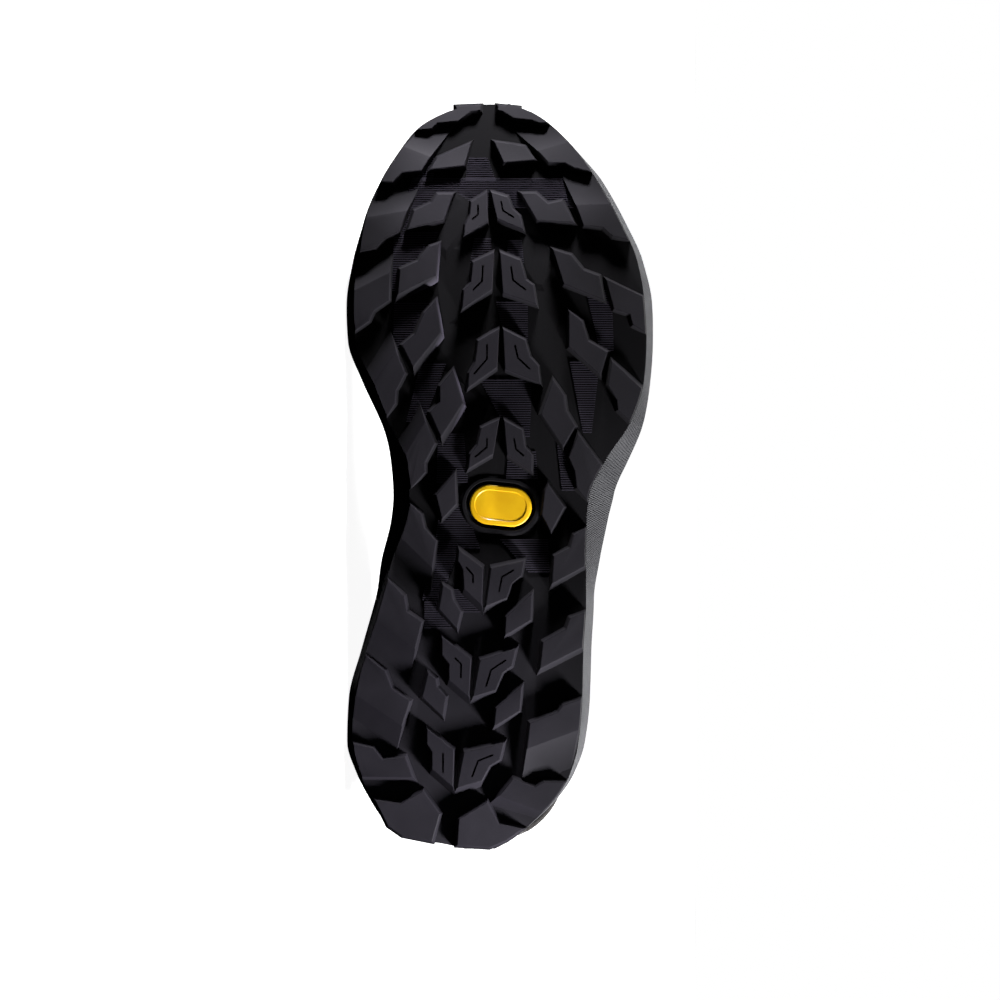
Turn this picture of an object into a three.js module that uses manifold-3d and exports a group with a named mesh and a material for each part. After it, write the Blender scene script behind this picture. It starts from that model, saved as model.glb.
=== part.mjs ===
// Left hiking boot, resting on its medial side. Millimetres, +Z up.
// Every piece is shaped in the boot's own frame: x runs from heel to toe, y from the medial to the
// lateral side, z from the ground up to the collar. The last group lays the boot down.
import * as THREE from 'three';
import { mergeVertices } from 'three/addons/utils/BufferGeometryUtils.js';
import Module from 'manifold-3d';

const wasm = await Module();
wasm.setup();

// Driving dimensions
const soleLength = 300;
const ballWidth = 124;
const lugDepth = 5;
const plateThickness = 3.5;
const heelStack = 34;
const ballStack = 24;
const toeStack = 21;
const toeSpring = 19;
const archRise = 4;
const heelBevel = 2.5;
const collarHeight = 180;
const upperWall = 2.2;
const overlayWall = 1.6;
const tongueWall = 4;
const insoleThickness = 4.5;
const laceRadius = 2.1;
const eyeletRadius = 4.2;
const eyeletBore = 2;
const eyeletFlange = 1.1;
const hookHeight = 6;
const throatWidth = 30;
const collarOpening = 40;
const staySpread = 17;
const cuffHeight = 30;
const gap = 0.3;

// Tables
const percent = 0.01;
const table = (columns, rows) => rows.map((row) =>
  Object.fromEntries(columns.split(' ').map((name, i) => [name, row[i]])));

// Tread outline, in percent: `at` of the sole's length from the heel, the rest of the ball's width.
// The flares are how far the midsole's side stands out beyond the tread.
const outlineTable = table('at medial lateral medialFlare lateralFlare', [
  [0, 9.7, 0, 0, 0],
  [0.7, 16.9, 3.2, 0.4, 0.4],
  [1.3, 26.6, 5.6, 0.8, 0.8],
  [2.7, 33.1, 9.7, 1, 1],
  [6.7, 39.9, 19.4, 1.2, 1.2],
  [10, 43.5, 24.2, 1.6, 1.6],
  [14, 46.2, 26.9, 1.9, 2.3],
  [20, 45.6, 28.2, 2, 2.7],
  [26.7, 41.5, 28.6, 1.9, 2.8],
  [33.3, 36.8, 29.5, 2.1, 2.7],
  [38.7, 33.2, 29.5, 3.7, 4.6],
  [44, 29, 29.7, 4.8, 7],
  [47.3, 27.7, 30.5, 5.4, 8.1],
  [52, 28.9, 35.8, 5, 7.5],
  [57.3, 34.8, 44.1, 2.4, 4.3],
  [62.7, 40, 48.2, 3.2, 2.3],
  [68, 45.2, 49, 2.6, 2.3],
  [73.3, 46.1, 48.3, 2.1, 2.7],
  [78.7, 44.4, 46, 1.8, 2.1],
  [84, 42.4, 40.5, 0.4, 1.9],
  [89.3, 37.3, 33.5, 0.2, 1.9],
  [93.3, 31.5, 27, 0.2, 0.6],
  [96.7, 25, 19.4, 0.2, 0.2],
  [98.7, 16.9, 12.9, 0, 0],
  [100, 6.5, 4.8, 0, 0],
]);

// Sections of the last, each a plane from its base point up to the ridge of the instep or the front
// of the shaft, fanned round the ankle. In percent: `base` and `ridge` of the sole's length,
// `baseRise` and `ridgeRise` of the collar's height (a base row of `under` 1 starts beneath the
// footbed instead), `middle`, `lateral` and `medial` of the ball's width. `flat` is the share of the
// width kept at the base, `belly` how far up the widest place is, and `round` the fullness above it.
const lastTable = table('base baseRise under ridge ridgeRise middle lateral medial flat belly round', [
  [98, 0, 1, 98.2, 26, -2, 6.5, 11.5, 80, 35, 2.2],
  [97, 0, 1, 97.2, 32.5, -2, 13.5, 19.5, 86, 36, 2.2],
  [95, 0, 1, 95, 38.5, -2, 22, 26.5, 90, 36, 2.25],
  [91, 0, 1, 90.7, 44, -2, 30, 33.5, 93, 36, 2.3],
  [85.3, 0, 1, 84.7, 47.2, -2, 37.8, 40, 94, 36, 2.3],
  [78.7, 0, 1, 77.3, 49.5, -2, 43.8, 43.4, 94, 36, 2.2],
  [71.3, 0, 1, 69.3, 53.8, -3, 47, 45, 94, 35, 2.05],
  [63.3, 0, 1, 61.3, 60.5, -5, 45.8, 40.8, 93, 34, 1.95],
  [55, 0, 1, 54.3, 68.5, -7, 40.5, 34, 92, 33, 1.9],
  [46.7, 0, 1, 49.3, 77, -8.5, 34, 31.5, 92, 32, 1.95],
  [37.7, 0, 1, 46.3, 84, -9.5, 30.5, 34, 92, 30, 2.05],
  [28.3, 0, 1, 44.8, 88.5, -9.7, 28.5, 38.5, 92, 28, 2.15],
  [18.3, 0, 1, 44, 92, -9.7, 27, 42, 90, 26, 2.25],
  [9.3, 0, 1, 43.5, 94.5, -9.7, 24.8, 41.5, 80, 28, 2.35],
  [3, 0, 1, 43.2, 96.5, -9.7, 24, 40.5, 55, 32, 2.4],
  [1.3, 24.5, 0, 43, 98, -9.7, 23.6, 40, 34, 36, 2.4],
  [1, 35.5, 0, 42.9, 99.4, -9.7, 22.6, 39, 20, 40, 2.35],
  [2, 49.5, 0, 42.7, 101, -9.7, 21.8, 38.6, 16, 43, 2.3],
  [3.3, 62.5, 0, 42.5, 103, -9.7, 21.4, 38.8, 15, 45, 2.3],
  [3.7, 75, 0, 42.3, 105, -9.7, 21.5, 39.5, 15, 46, 2.3],
  [2.7, 87, 0, 42, 107.5, -9.7, 22.2, 40.5, 15, 46, 2.3],
  [1.7, 97, 0, 41.7, 110.5, -9.7, 22.6, 41.2, 15, 46, 2.3],
  [1.2, 107, 0, 41.3, 117, -9.7, 22.8, 41.4, 15, 46, 2.3],
]);

// Chevron lugs down the middle: the point, how far the two wings run back and out, and the turn of
// the axis in degrees. `faces` is 1 where the point is to the toe, -1 where it is to the heel.
const chevronTable = table('at out back wide turn faces', [
  [87.9, -1.6, 41, 29.6, 4.9, 1],
  [79.7, 0.6, 55, 36.8, 2.4, 1],
  [69.5, 1.8, 56, 36, 3.6, 1],
  [57.3, 1.9, 51, 32, -1.1, 1],
  [32.4, -3.7, 52, 33, 8.6, -1],
  [20.4, -7.9, 54, 37.8, 9.3, -1],
  [8.3, -12.9, 53, 39, 11.8, -1],
]);

// Arrow lugs either side of the chevrons, by four corners in percent: the tip, the corner towards
// the middle, the tail, and the corner towards the edge. The edge from outer to tip has the notch.
const arrowTable = table('tipAt tipOut innerAt innerOut tailAt tailOut outerAt outerOut', [
  [87.6, -13.5, 84, -16.8, 82.9, -28.1, 85.3, -26.1],
  [80.9, -18.1, 76.7, -19, 74.1, -31.3, 77.5, -30.6],
  [73.3, -18.8, 69.2, -17.4, 64.4, -26.5, 67.3, -30],
  [64, -13.5, 59.9, -10.6, 55.1, -17.4, 58.4, -21],
  [50.2, -12.9, 46.1, -12.9, 44.4, -16.3, 47.3, -19.2],
  [35.3, -16.8, 32.1, -18.1, 29.5, -12.3, 31.7, -11],
  [23.6, -21.5, 20.4, -23.5, 17.7, -16.8, 20.4, -15.6],
  [87.7, 8.4, 84, 13.7, 83.7, 25.5, 86.6, 21.8],
  [80.1, 18.9, 75.5, 22.3, 73.3, 35.3, 76.5, 33.7],
  [71.9, 23.9, 67, 24, 63.3, 34, 66.3, 36.1],
  [62.7, 18.7, 58.1, 14.8, 53.7, 21.9, 56.5, 25.8],
  [48.8, 17.1, 44.7, 15.2, 42.4, 18.1, 45.7, 22.3],
  [34.3, 11.9, 30.7, 11.8, 28.5, 3.2, 31.1, 3.5],
  [21.9, 8.9, 18.5, 8.1, 16.4, -0.2, 18.9, 0.3],
]);

// Edge lugs, by four corners in percent: the steep side from rim to inside, then the ramped side
// from inside to rim. The steep side steps once; the rim side is trimmed to the outline.
const edgeTable = table('rimAt rimOut inAt inOut leadAt leadOut farAt farOut', [
  [96.5, -26.1, 97.6, -11.9, 99.1, -7.4, 99.7, -17.7],
  [97.2, 18.4, 97.9, 6.1, 99.1, 1.9, 99.8, 11.3],
  [89.3, -37.4, 90.8, -23.9, 92.7, -21, 94.7, -31.3],
  [90.7, 31.9, 91.8, 17.4, 93.5, 13.9, 95.3, 25.8],
  [79.9, -43.7, 82.5, -31, 85.3, -28.4, 84.3, -41],
  [81.3, 43.2, 83.3, 28.7, 86.1, 26.1, 86.1, 37.7],
  [69.3, -45.5, 73.3, -34, 77.1, -33.9, 74.5, -44.5],
  [69.1, 48.7, 72.1, 38.4, 76.1, 35.8, 73.7, 47.7],
  [57.9, -34.5, 63.5, -29, 66.5, -31.9, 62.5, -39],
  [58.3, 44.2, 61.7, 36.8, 65.1, 38.1, 61.3, 46.8],
  [48.3, -26.1, 54.3, -19.4, 57.2, -22.6, 52.7, -30],
  [46.7, 30, 52.4, 24, 55.2, 26.8, 51.3, 33.2],
  [46.1, -27.3, 41.1, -18.9, 37.6, -20.3, 41.3, -29.4],
  [42.9, 29.4, 39.2, 19, 35.7, 18.5, 38.1, 29],
  [35.9, -33.9, 30.4, -23.5, 26.9, -25.8, 30, -35.5],
  [31.7, 29.2, 27.7, 15.5, 24.1, 14.5, 26.9, 28.1],
  [25.7, -41, 19.8, -27.3, 16.5, -29.8, 20.5, -43.5],
  [20.1, 28.4, 16.9, 11.3, 13.5, 10.3, 16.1, 27.4],
  [14.3, -46.3, 12.3, -29, 9.5, -26.5, 9.9, -42.6],
  [8.9, 23.5, 9.5, 5.8, 7.2, 1.3, 5.3, 15.5],
]);

// Small blocks without a rim side: two behind the toe and two on the heel's rear edge.
const blockTable = table('aAt aOut bAt bOut cAt cOut dAt dOut', [
  [90.9, -21, 91.5, -10, 94.7, -7.7, 92.3, -18.7],
  [92.2, 12.9, 91.8, 2.9, 94.8, -0.2, 94.1, 9.7],
  [6.7, -38.7, 7.9, -23.1, 1.1, -18.2, -0.5, -36],
  [4.1, -11.6, 6.4, -2.6, 2.8, 9, -0.5, -12.3],
]);

// Smooth value of one column at a given place in a table, through every row and never past them
function read(rows, column, place, key = 'at') {
  const last = rows.length - 1;
  const i = Math.min(Math.max(rows.findIndex((row) => row[key] >= place), 1), last);
  const step = (j) => rows[j][key] - rows[j - 1][key];
  const slope = (j) => (rows[j][column] - rows[j - 1][column]) / step(j);
  const tangent = (j) => {
    if (j === 0) return slope(1);
    if (j === last) return slope(last);
    return slope(j) * slope(j + 1) > 0 ? 2 / (1 / slope(j) + 1 / slope(j + 1)) : 0;
  };
  const t = THREE.MathUtils.clamp((place - rows[i - 1][key]) / step(i), 0, 1);
  const rise = rows[i][column] - rows[i - 1][column];
  const enter = tangent(i - 1) * step(i);
  const leave = tangent(i) * step(i);
  return rows[i - 1][column] + t * enter + t * t * (3 * rise - 2 * enter - leave)
    + t * t * t * (enter + leave - 2 * rise);
}

// Solids
function solid(points, faces) {
  const volume = faces.reduce((sum, [a, b, c]) =>
    sum + points[a].dot(points[b].clone().cross(points[c])), 0);
  const turned = volume < 0 ? faces.map(([a, b, c]) => [a, c, b]) : faces;
  return new wasm.Manifold(new wasm.Mesh({
    numProp: 3,
    vertProperties: new Float32Array(points.flatMap((p) => p.toArray())),
    triVerts: new Uint32Array(turned.flat()),
  }));
}

function fromGeometry(source) {
  const geometry = source.clone();
  geometry.deleteAttribute('normal');
  geometry.deleteAttribute('uv');
  const merged = mergeVertices(geometry, 1e-4);
  return new wasm.Manifold(new wasm.Mesh({
    numProp: 3,
    vertProperties: new Float32Array(merged.attributes.position.array),
    triVerts: new Uint32Array(merged.index.array),
  }));
}

// A closed body through rings of equally many points, capped at both ends
function loft(rings) {
  const n = rings[0].length;
  const points = rings.flat();
  const faces = [];
  for (let k = 0; k + 1 < rings.length; k += 1) {
    for (let i = 0; i < n; i += 1) {
      const a = k * n + i;
      const b = k * n + (i + 1) % n;
      faces.push([a, b, a + n], [b, b + n, a + n]);
    }
  }
  const capAt = (first, ring, flip) => {
    const flat = THREE.ShapeUtils.triangulateShape(flattened(ring), []);
    const hub = points.length;
    const fan = ring.map((_, i) => [hub - first, i, (i + 1) % n]);
    const whole = flat.length === n - 2;
    if (!whole) points.push(ring.reduce((sum, p) => sum.add(p), new THREE.Vector3()).divideScalar(n));
    for (const [a, b, c] of whole ? flat : fan) {
      faces.push(flip ? [first + a, first + c, first + b] : [first + a, first + b, first + c]);
    }
  };
  const end = points.length - n;
  capAt(0, rings[0], true);
  capAt(end, rings.at(-1), false);
  return solid(points, faces);
}

// A ring's points in its own plane, with the ring always seen the same way round
function flattened(ring) {
  const normal = new THREE.Vector3();
  ring.forEach((p, i) => normal.add(p.clone().cross(ring[(i + 1) % ring.length])));
  normal.normalize();
  const along = ring[1].clone().sub(ring[0]).normalize();
  const across = normal.clone().cross(along);
  return ring.map((p) => new THREE.Vector2(p.dot(along), p.dot(across)));
}

const join = (solids) => wasm.Manifold.union(solids);

// A side-view outline carried right through the boot's width
function sideways(outline) {
  const shape = new THREE.Shape(outline.map(([x, z]) => new THREE.Vector2(x, z)));
  const depth = 3 * ballWidth;
  const geometry = new THREE.ExtrudeGeometry(shape, { depth, bevelEnabled: false, curveSegments: 6 });
  geometry.rotateX(Math.PI / 2);
  geometry.translate(0, depth / 2, 0);
  return fromGeometry(geometry);
}

const boot = new THREE.Group();

function place(name, body, finish) {
  const mesh = body.getMesh();
  const geometry = new THREE.BufferGeometry();
  geometry.setAttribute('position', new THREE.BufferAttribute(new Float32Array(mesh.vertProperties), 3));
  geometry.setIndex(new THREE.BufferAttribute(new Uint32Array(mesh.triVerts), 1));
  geometry.computeVertexNormals();
  const node = new THREE.Mesh(geometry, finish);
  node.name = name;
  boot.add(node);
  return node;
}

const finish = (color, roughness, metalness = 0) =>
  new THREE.MeshStandardMaterial({ color, roughness, metalness });
const rubber = finish(0x26262a, 0.7);
const foam = finish(0x3a3a40, 0.75);
const leather = finish(0x4b3a2c, 0.65);
const softLeather = finish(0x2f2b29, 0.8);
const textile = finish(0x33353a, 0.9);
const steel = finish(0x6d6d70, 0.35, 1);
const amber = finish(0xe2a21c, 0.5);

// Sole profile
const wide = (share) => share * percent * ballWidth;
const along = (share) => share * percent * soleLength;
const tall = (share) => share * percent * collarHeight;
const edge = (x, side) => wide(read(outlineTable, side, x / along(1)));
const shaftMiddle = wide(-9.7);
const archCentre = along(45);
const archReach = along(15);
const springStart = along(71);
const bevelLength = along(5);

function spring(x) {
  const t = Math.max(0, (x - springStart) / (soleLength - springStart));
  return toeSpring * t * t;
}

function ground(x) {
  const arch = Math.abs(x - archCentre) < archReach
    ? archRise * (1 + Math.cos(Math.PI * (x - archCentre) / archReach)) / 2 : 0;
  const bevel = Math.max(0, 1 - x / bevelLength);
  return spring(x) + arch + heelBevel * bevel * bevel;
}

function footbed(x) {
  const toBall = THREE.MathUtils.smoothstep(x, along(20), along(68));
  const toToe = THREE.MathUtils.smoothstep(x, along(72), soleLength);
  return heelStack + (ballStack - heelStack) * toBall + (toeStack - ballStack) * toToe + spring(x);
}

const soleSteps = 34;
const soleStations = Array.from({ length: soleSteps + 1 }, (_, i) =>
  soleLength * (1 - Math.cos(Math.PI * i / soleSteps)) / 2);
const point = (x, y, z) => new THREE.Vector3(x, y, z);

// Outsole: a plate with its lugs moulded on
const tread = (x) => ground(x) + lugDepth;
const plateTop = (x) => tread(x) + plateThickness;

function plate() {
  return loft(soleStations.map((x) => {
    const medial = -edge(x, 'medial');
    const lateral = edge(x, 'lateral');
    return [point(x, medial, tread(x)), point(x, lateral, tread(x)),
      point(x, lateral, plateTop(x)), point(x, medial, plateTop(x))];
  }));
}

// The space that lugs may fill: the tread's outline, drawn in a little towards the ground
const lugInset = 0.7;
function treadPrism() {
  return loft(soleStations.map((x) => {
    const drawn = (side, inset) => Math.max(edge(x, side) - inset, 0.2);
    const low = ground(x) - lugDepth;
    const high = tread(x) + plateThickness / 2;
    return [point(x, -drawn('medial', lugInset), low), point(x, drawn('lateral', lugInset), low),
      point(x, drawn('lateral', gap / 2), high), point(x, -drawn('medial', gap / 2), high)];
  }));
}

// Below this sine of the turn between two sides, a corner counts as straight
const nearlyStraight = 0.25;

// Corner of a lug's foot: where its two neighbouring sides meet once each has moved out by its draft
function footCorner(before, corner, after, draftBefore, draftAfter) {
  const sideA = corner.clone().sub(before).normalize();
  const sideB = after.clone().sub(corner).normalize();
  const outA = new THREE.Vector2(sideA.y, -sideA.x);
  const outB = new THREE.Vector2(sideB.y, -sideB.x);
  const sine = sideA.cross(sideB);
  const cosine = sideA.dot(sideB);
  if (Math.abs(sine) < nearlyStraight && cosine > 0) {
    return corner.clone().addScaledVector(outA.add(outB).normalize(), (draftBefore + draftAfter) / 2);
  }
  const slide = (draftAfter - draftBefore * cosine) / sine;
  return corner.clone().addScaledVector(outA, draftBefore).addScaledVector(sideA, slide);
}

// A lug from its ground face, with one draft for each side, rooted in the plate
const root = 2;
function lug(face, drafts) {
  const turned = THREE.ShapeUtils.area(face) < 0;
  const corners = turned ? [...face].reverse() : face;
  const n = corners.length;
  const sides = turned ? corners.map((_, i) => drafts[(2 * n - 2 - i) % n]) : drafts;
  const spread = 1 + root / lugDepth;
  const foot = corners.map((corner, i) => footCorner(corners[(i + n - 1) % n], corner,
    corners[(i + 1) % n], sides[(i + n - 1) % n] * spread, sides[i] * spread));
  const lower = corners.map((p) => point(p.x, p.y, ground(p.x)));
  const upper = foot.map((p) => point(p.x, p.y, ground(p.x) + lugDepth + root));
  return loft([lower, upper]);
}

const corner = (at, out) => new THREE.Vector2(along(at), wide(out));
const steepDraft = 1.5;
const flankDraft = 1.1;
const innerRamp = 3.2;
const edgeRamp = 7;

// A side with steps in it: each step is a share of the way along and how far it lies inside
function stepped(from, to, inside, steps) {
  const run = to.clone().sub(from);
  const inward = new THREE.Vector2(-run.y, run.x).normalize();
  if (inward.dot(inside.clone().sub(from)) < 0) inward.negate();
  return steps.map(([share, depth]) => from.clone().addScaledVector(run, share).addScaledVector(inward, depth));
}

const notchSteps = [[0.38, 1.3], [0.5, 0.2], [0.75, -0.9]];
function arrowLug(row) {
  const tip = corner(row.tipAt, row.tipOut);
  const inner = corner(row.innerAt, row.innerOut);
  const tail = corner(row.tailAt, row.tailOut);
  const outer = corner(row.outerAt, row.outerOut);
  const small = tip.distanceTo(tail) < along(8);
  const notch = small ? [] : stepped(outer, tip, inner, notchSteps);
  const face = [tip, inner, tail, outer, ...notch];
  return lug(face, face.map((_, i) => [flankDraft, steepDraft, flankDraft][i] ?? innerRamp));
}

const rimSteps = [[0.36, -1.3], [0.6, 0.3]];
const rimOverrun = 5;
function edgeLug(row) {
  const inner = corner(row.inAt, row.inOut);
  const lead = corner(row.leadAt, row.leadOut);
  const outwards = (at, out, from) => {
    const p = corner(at, out);
    return p.clone().add(p.clone().sub(from).setLength(rimOverrun));
  };
  const rim = outwards(row.rimAt, row.rimOut, inner);
  const far = outwards(row.farAt, row.farOut, lead);
  const steps = stepped(rim, inner, lead, rimSteps);
  const face = [rim, ...steps, inner, lead, far];
  return lug(face, [steepDraft, steepDraft, steepDraft, flankDraft, edgeRamp, 0]);
}

function blockLug(row) {
  const face = ['a', 'b', 'c', 'd'].map((name) => corner(row[`${name}At`], row[`${name}Out`]));
  return lug(face, face.map(() => flankDraft));
}

// Half a chevron, as shares of its two runs: from the point, round the wing, back along the groove
const wingCorners = [[0.02, 0.08], [0.16, 0.64], [0.55, 0.75], [0.65, 0.94], [1, 1], [0.72, 0.1]];
const wingUnit = soleLength / 750;
function chevronHalf(row, side) {
  const point0 = corner(row.at, row.out);
  const turn = row.faces * row.turn * Math.PI / 180;
  const back = new THREE.Vector2(-row.faces, 0).rotateAround(new THREE.Vector2(), -turn);
  const outward = new THREE.Vector2(-back.y, back.x).multiplyScalar(side);
  const face = wingCorners.map(([b, o]) => point0.clone()
    .addScaledVector(back, b * row.back * wingUnit)
    .addScaledVector(outward, o * row.wide * wingUnit));
  return lug(face, [innerRamp, flankDraft, flankDraft, flankDraft, steepDraft, 0.2]);
}

const badgeSize = { long: along(8.4), high: wide(13), at: corner(45.9, 1.8), turn: 6 * Math.PI / 180 };
const badgeSeat = 1.6;
function badgeBody(grow, low, high) {
  const shape = new THREE.Shape();
  const half = badgeSize.long / 2 - badgeSize.high / 2;
  const radius = badgeSize.high / 2 + grow;
  shape.absarc(half, 0, radius, -Math.PI / 2, Math.PI / 2, false);
  shape.absarc(-half, 0, radius, Math.PI / 2, 1.5 * Math.PI, false);
  const geometry = new THREE.ExtrudeGeometry(shape, { depth: high - low, bevelEnabled: false, curveSegments: 8 });
  geometry.rotateZ(Math.PI / 2 + badgeSize.turn);
  geometry.translate(badgeSize.at.x, badgeSize.at.y, low);
  return fromGeometry(geometry);
}

const lugs = [
  ...chevronTable.flatMap((row) => [chevronHalf(row, -1), chevronHalf(row, 1)]),
  ...arrowTable.map(arrowLug),
  ...edgeTable.map(edgeLug),
  ...blockTable.map(blockLug),
];
const badgeFloor = tread(badgeSize.at.x);
const outsole = join([plate(), join(lugs).intersect(treadPrism())])
  .subtract(badgeBody(gap, badgeFloor - lugDepth, badgeFloor + badgeSeat));
place('outsole', outsole, rubber);
place('badge_inlay', badgeBody(0, badgeFloor - badgeSeat, badgeFloor + badgeSeat - gap), amber);

// Midsole: flared side with one deep groove and a lip, flat on top for the footbed
const grooveDepth = 1.4;
const lipInset = 1.2;
function midsoleRing(x) {
  const low = plateTop(x) + gap;
  const high = footbed(x);
  const side = (name, sign) => {
    const at = (share, inset) => point(x, sign * Math.max(edge(x, name)
      + edge(x, `${name}Flare`) * Math.min(1, share / 0.4) - inset, 0.3), low + share * (high - low));
    return [at(0, 0), at(0.4, 0), at(0.58, 0.1), at(0.62, grooveDepth), at(0.7, grooveDepth), at(0.74, 0.1),
      at(1, lipInset)];
  };
  return [...side('medial', -1).reverse(), ...side('lateral', 1)];
}
place('midsole', loft(soleStations.map(midsoleRing)), foam);

// The last: its outer surface as a function of the section and the way round it
const sectionRows = lastTable.map((row, i) => ({ ...row, at: i }));
const lastRow = sectionRows.length - 1;
const tuck = 8;
function section(u) {
  const of = (column) => read(sectionRows, column, u);
  const under = of('under');
  const baseX = along(of('base'));
  const baseZ = under * (footbed(baseX) - tuck) + tall(of('baseRise'));
  return {
    base: point(baseX, 0, baseZ),
    ridge: point(along(of('ridge')), 0, tall(of('ridgeRise'))),
    middle: wide(of('middle')),
    lateral: wide(of('lateral')),
    medial: wide(of('medial')),
    flat: of('flat') * percent,
    belly: of('belly') * percent,
    round: of('round'),
  };
}

// v runs from 0 at the lateral base, over the ridge at 0.5, to 1 at the medial base
function skin(u, v) {
  const s = section(u);
  const hand = v <= 0.5 ? 1 : -1;
  const up = (1 - Math.cos(Math.PI * Math.min(v, 1 - v) * 2)) / 2;
  const fullness = up < s.belly
    ? s.flat + (1 - s.flat) * Math.sqrt(Math.max(0, 1 - ((s.belly - up) / s.belly) ** 2))
    : Math.max(0, 1 - ((up - s.belly) / (1 - s.belly)) ** s.round) ** (1 / s.round);
  const reach = hand > 0 ? s.lateral - s.middle : s.medial + s.middle;
  const at = s.base.clone().lerp(s.ridge, up);
  at.y = s.middle + hand * reach * fullness;
  return at;
}

// Outward direction of the last's surface, from two short steps along it
const rowStep = 0.1;
const nudge = 0.02;
function outward(u, v) {
  const du = skin(Math.min(u + rowStep, lastRow), v).sub(skin(Math.max(u - rowStep, 0), v));
  const dv = skin(u, Math.min(v + nudge, 1)).sub(skin(u, Math.max(v - nudge, 0)));
  return du.cross(dv).normalize();
}
const skinAt = (u, v, offset) => skin(u, v).addScaledVector(outward(u, v), offset);

const ringCount = 25;
const roundSteps = 14;
const ringPlaces = Array.from({ length: ringCount + 1 }, (_, k) => lastRow * k / ringCount);
function form(offset, from = 0, to = lastRow) {
  return loft(ringPlaces.filter((u) => u >= from && u <= to).map((u) =>
    Array.from({ length: roundSteps + 1 }, (_, i) => skinAt(u, i / roundSteps, offset))));
}

// A place on the facets between the rings, for what is seated on them
function facetAt(u, v, offset) {
  const k = Math.min(Math.floor(u * ringCount / lastRow), ringCount - 1);
  const i = Math.min(Math.floor(v * roundSteps), roundSteps - 1);
  const s = u * ringCount / lastRow - k;
  const t = v * roundSteps - i;
  const grid = (dk, di) => skinAt(ringPlaces[k + dk], (i + di) / roundSteps, offset);
  return grid(0, 0).lerp(grid(0, 1), t).lerp(grid(1, 0).lerp(grid(1, 1), t), s);
}

// Everything below the footbed, which the upper and its overlays are trimmed to
function belowFootbed(clear) {
  const far = 2 * ballWidth;
  const xs = [-soleLength, ...soleStations.filter((_, i) => i % 2 === 0), 2 * soleLength];
  return loft(xs.map((x) => {
    const top = footbed(THREE.MathUtils.clamp(x, 0, soleLength)) + clear;
    return [point(x, -far, -far), point(x, far, -far), point(x, far, top), point(x, -far, top)];
  }));
}
const soleCut = belowFootbed(gap);

// The collar's line seen from the side, low at the heel tendon and rising to the front
function aboveCollar(lift) {
  const line = [[-30, 88], [1, 89], [8, 91], [20, 96.5], [32, 102], [42, 105.5], [80, 110]];
  const edgeLine = line.map(([x, z]) => [along(x), tall(z) + lift]);
  return sideways([...edgeLine, [along(80), 3 * collarHeight], [along(-30), 3 * collarHeight]]);
}

// A block along the ridge, from one section to another: the throat's opening and what borders it
function ridgeBlock(widthAt, from, to, deep, high) {
  const places = [from, from + 0.15, from + 0.45, ...ringPlaces.filter((u) => u > from + 0.6 && u < to), to];
  return loft(places.map((u) => {
    const s = section(u);
    const up = s.ridge.clone().sub(s.base).normalize();
    const half = widthAt(u);
    const at = (side, rise) => s.ridge.clone().addScaledVector(up, rise).setY(s.middle + side * half);
    return [at(-1, -deep), at(1, -deep), at(1, high), at(-1, high)];
  }));
}

const throatStart = 6.2;
const throatHalf = (u) => {
  const opened = THREE.MathUtils.smoothstep(u, throatStart, lastRow);
  const rounded = Math.sqrt(THREE.MathUtils.clamp((u - throatStart + 0.08) / 0.9, 0, 1));
  return rounded * (throatWidth + (collarOpening - throatWidth) * opened) / 2;
};
const blockDepth = 20;
const throat = ridgeBlock(throatHalf, throatStart, lastRow, blockDepth, blockDepth);

// Eyelets and hooks sit in pairs up the throat
const eyeletRows = [6.9, 7.8, 8.8, 10.2];
const hookRows = [12.2, 15.8];
const stayCentre = staySpread * 0.45;
function besideThroat(u, side, inset = 0) {
  const s = section(u);
  const target = throatHalf(u) + stayCentre - inset;
  let v = 0.5;
  while (v > 0.2 && skin(u, v).y - s.middle < target) v -= 0.004;
  return side > 0 ? v : 1 - v;
}

// A round piece turned about its axis, standing on the last's surface
const turnedSides = 7;
function turnedPiece(profile, u, v, offset) {
  const geometry = new THREE.LatheGeometry(profile.map(([r, h]) => new THREE.Vector2(r, h)), turnedSides);
  const upright = new THREE.Quaternion().setFromUnitVectors(point(0, 1, 0), outward(u, v));
  const base = facetAt(u, v, offset);
  geometry.applyQuaternion(upright);
  geometry.translate(base.x, base.y, base.z);
  return fromGeometry(geometry);
}

const boreProfile = (radius, low, high) => [[0, low], [radius, low], [radius, high], [0, high]];
const stayTop = gap + overlayWall;
const sides = [['lateral', 1], ['medial', -1]];
const eyeletSpots = sides.flatMap(([name, side]) => eyeletRows.map((u, i) =>
  ({ name: `eyelet_${name}_${i + 1}`, u, v: besideThroat(u, side), side })));
const hookSpots = sides.flatMap(([name, side]) => hookRows.map((u, i) =>
  ({ name: `lace_hook_${name}_${i + 1}`, u, v: besideThroat(u, side), side })));
const barrel = eyeletBore + 0.7;
const bores = join(eyeletSpots.map(({ u, v }) =>
  turnedPiece(boreProfile(barrel + 2 * gap, -2 * upperWall, 2 * overlayWall), u, v, 0)));

// Upper: one hollow shell, open at the collar, the throat and underneath
const outer = form(0);
const trims = join([soleCut, aboveCollar(0)]);
const upper = outer.subtract(form(-upperWall)).subtract(join([trims, throat, bores]));
place('upper', upper, leather);

// Insole, lying on the footbed inside the upper
function insoleBody() {
  const inside = form(-upperWall - gap, 0, 14);
  return inside.subtract(soleCut).subtract(sideways([
    ...soleStations.filter((_, i) => i % 2 === 0).map((x) => [x, footbed(x) + gap + insoleThickness]),
    [soleLength, 2 * collarHeight], [0, 2 * collarHeight]]));
}
place('insole', insoleBody(), textile);

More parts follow.
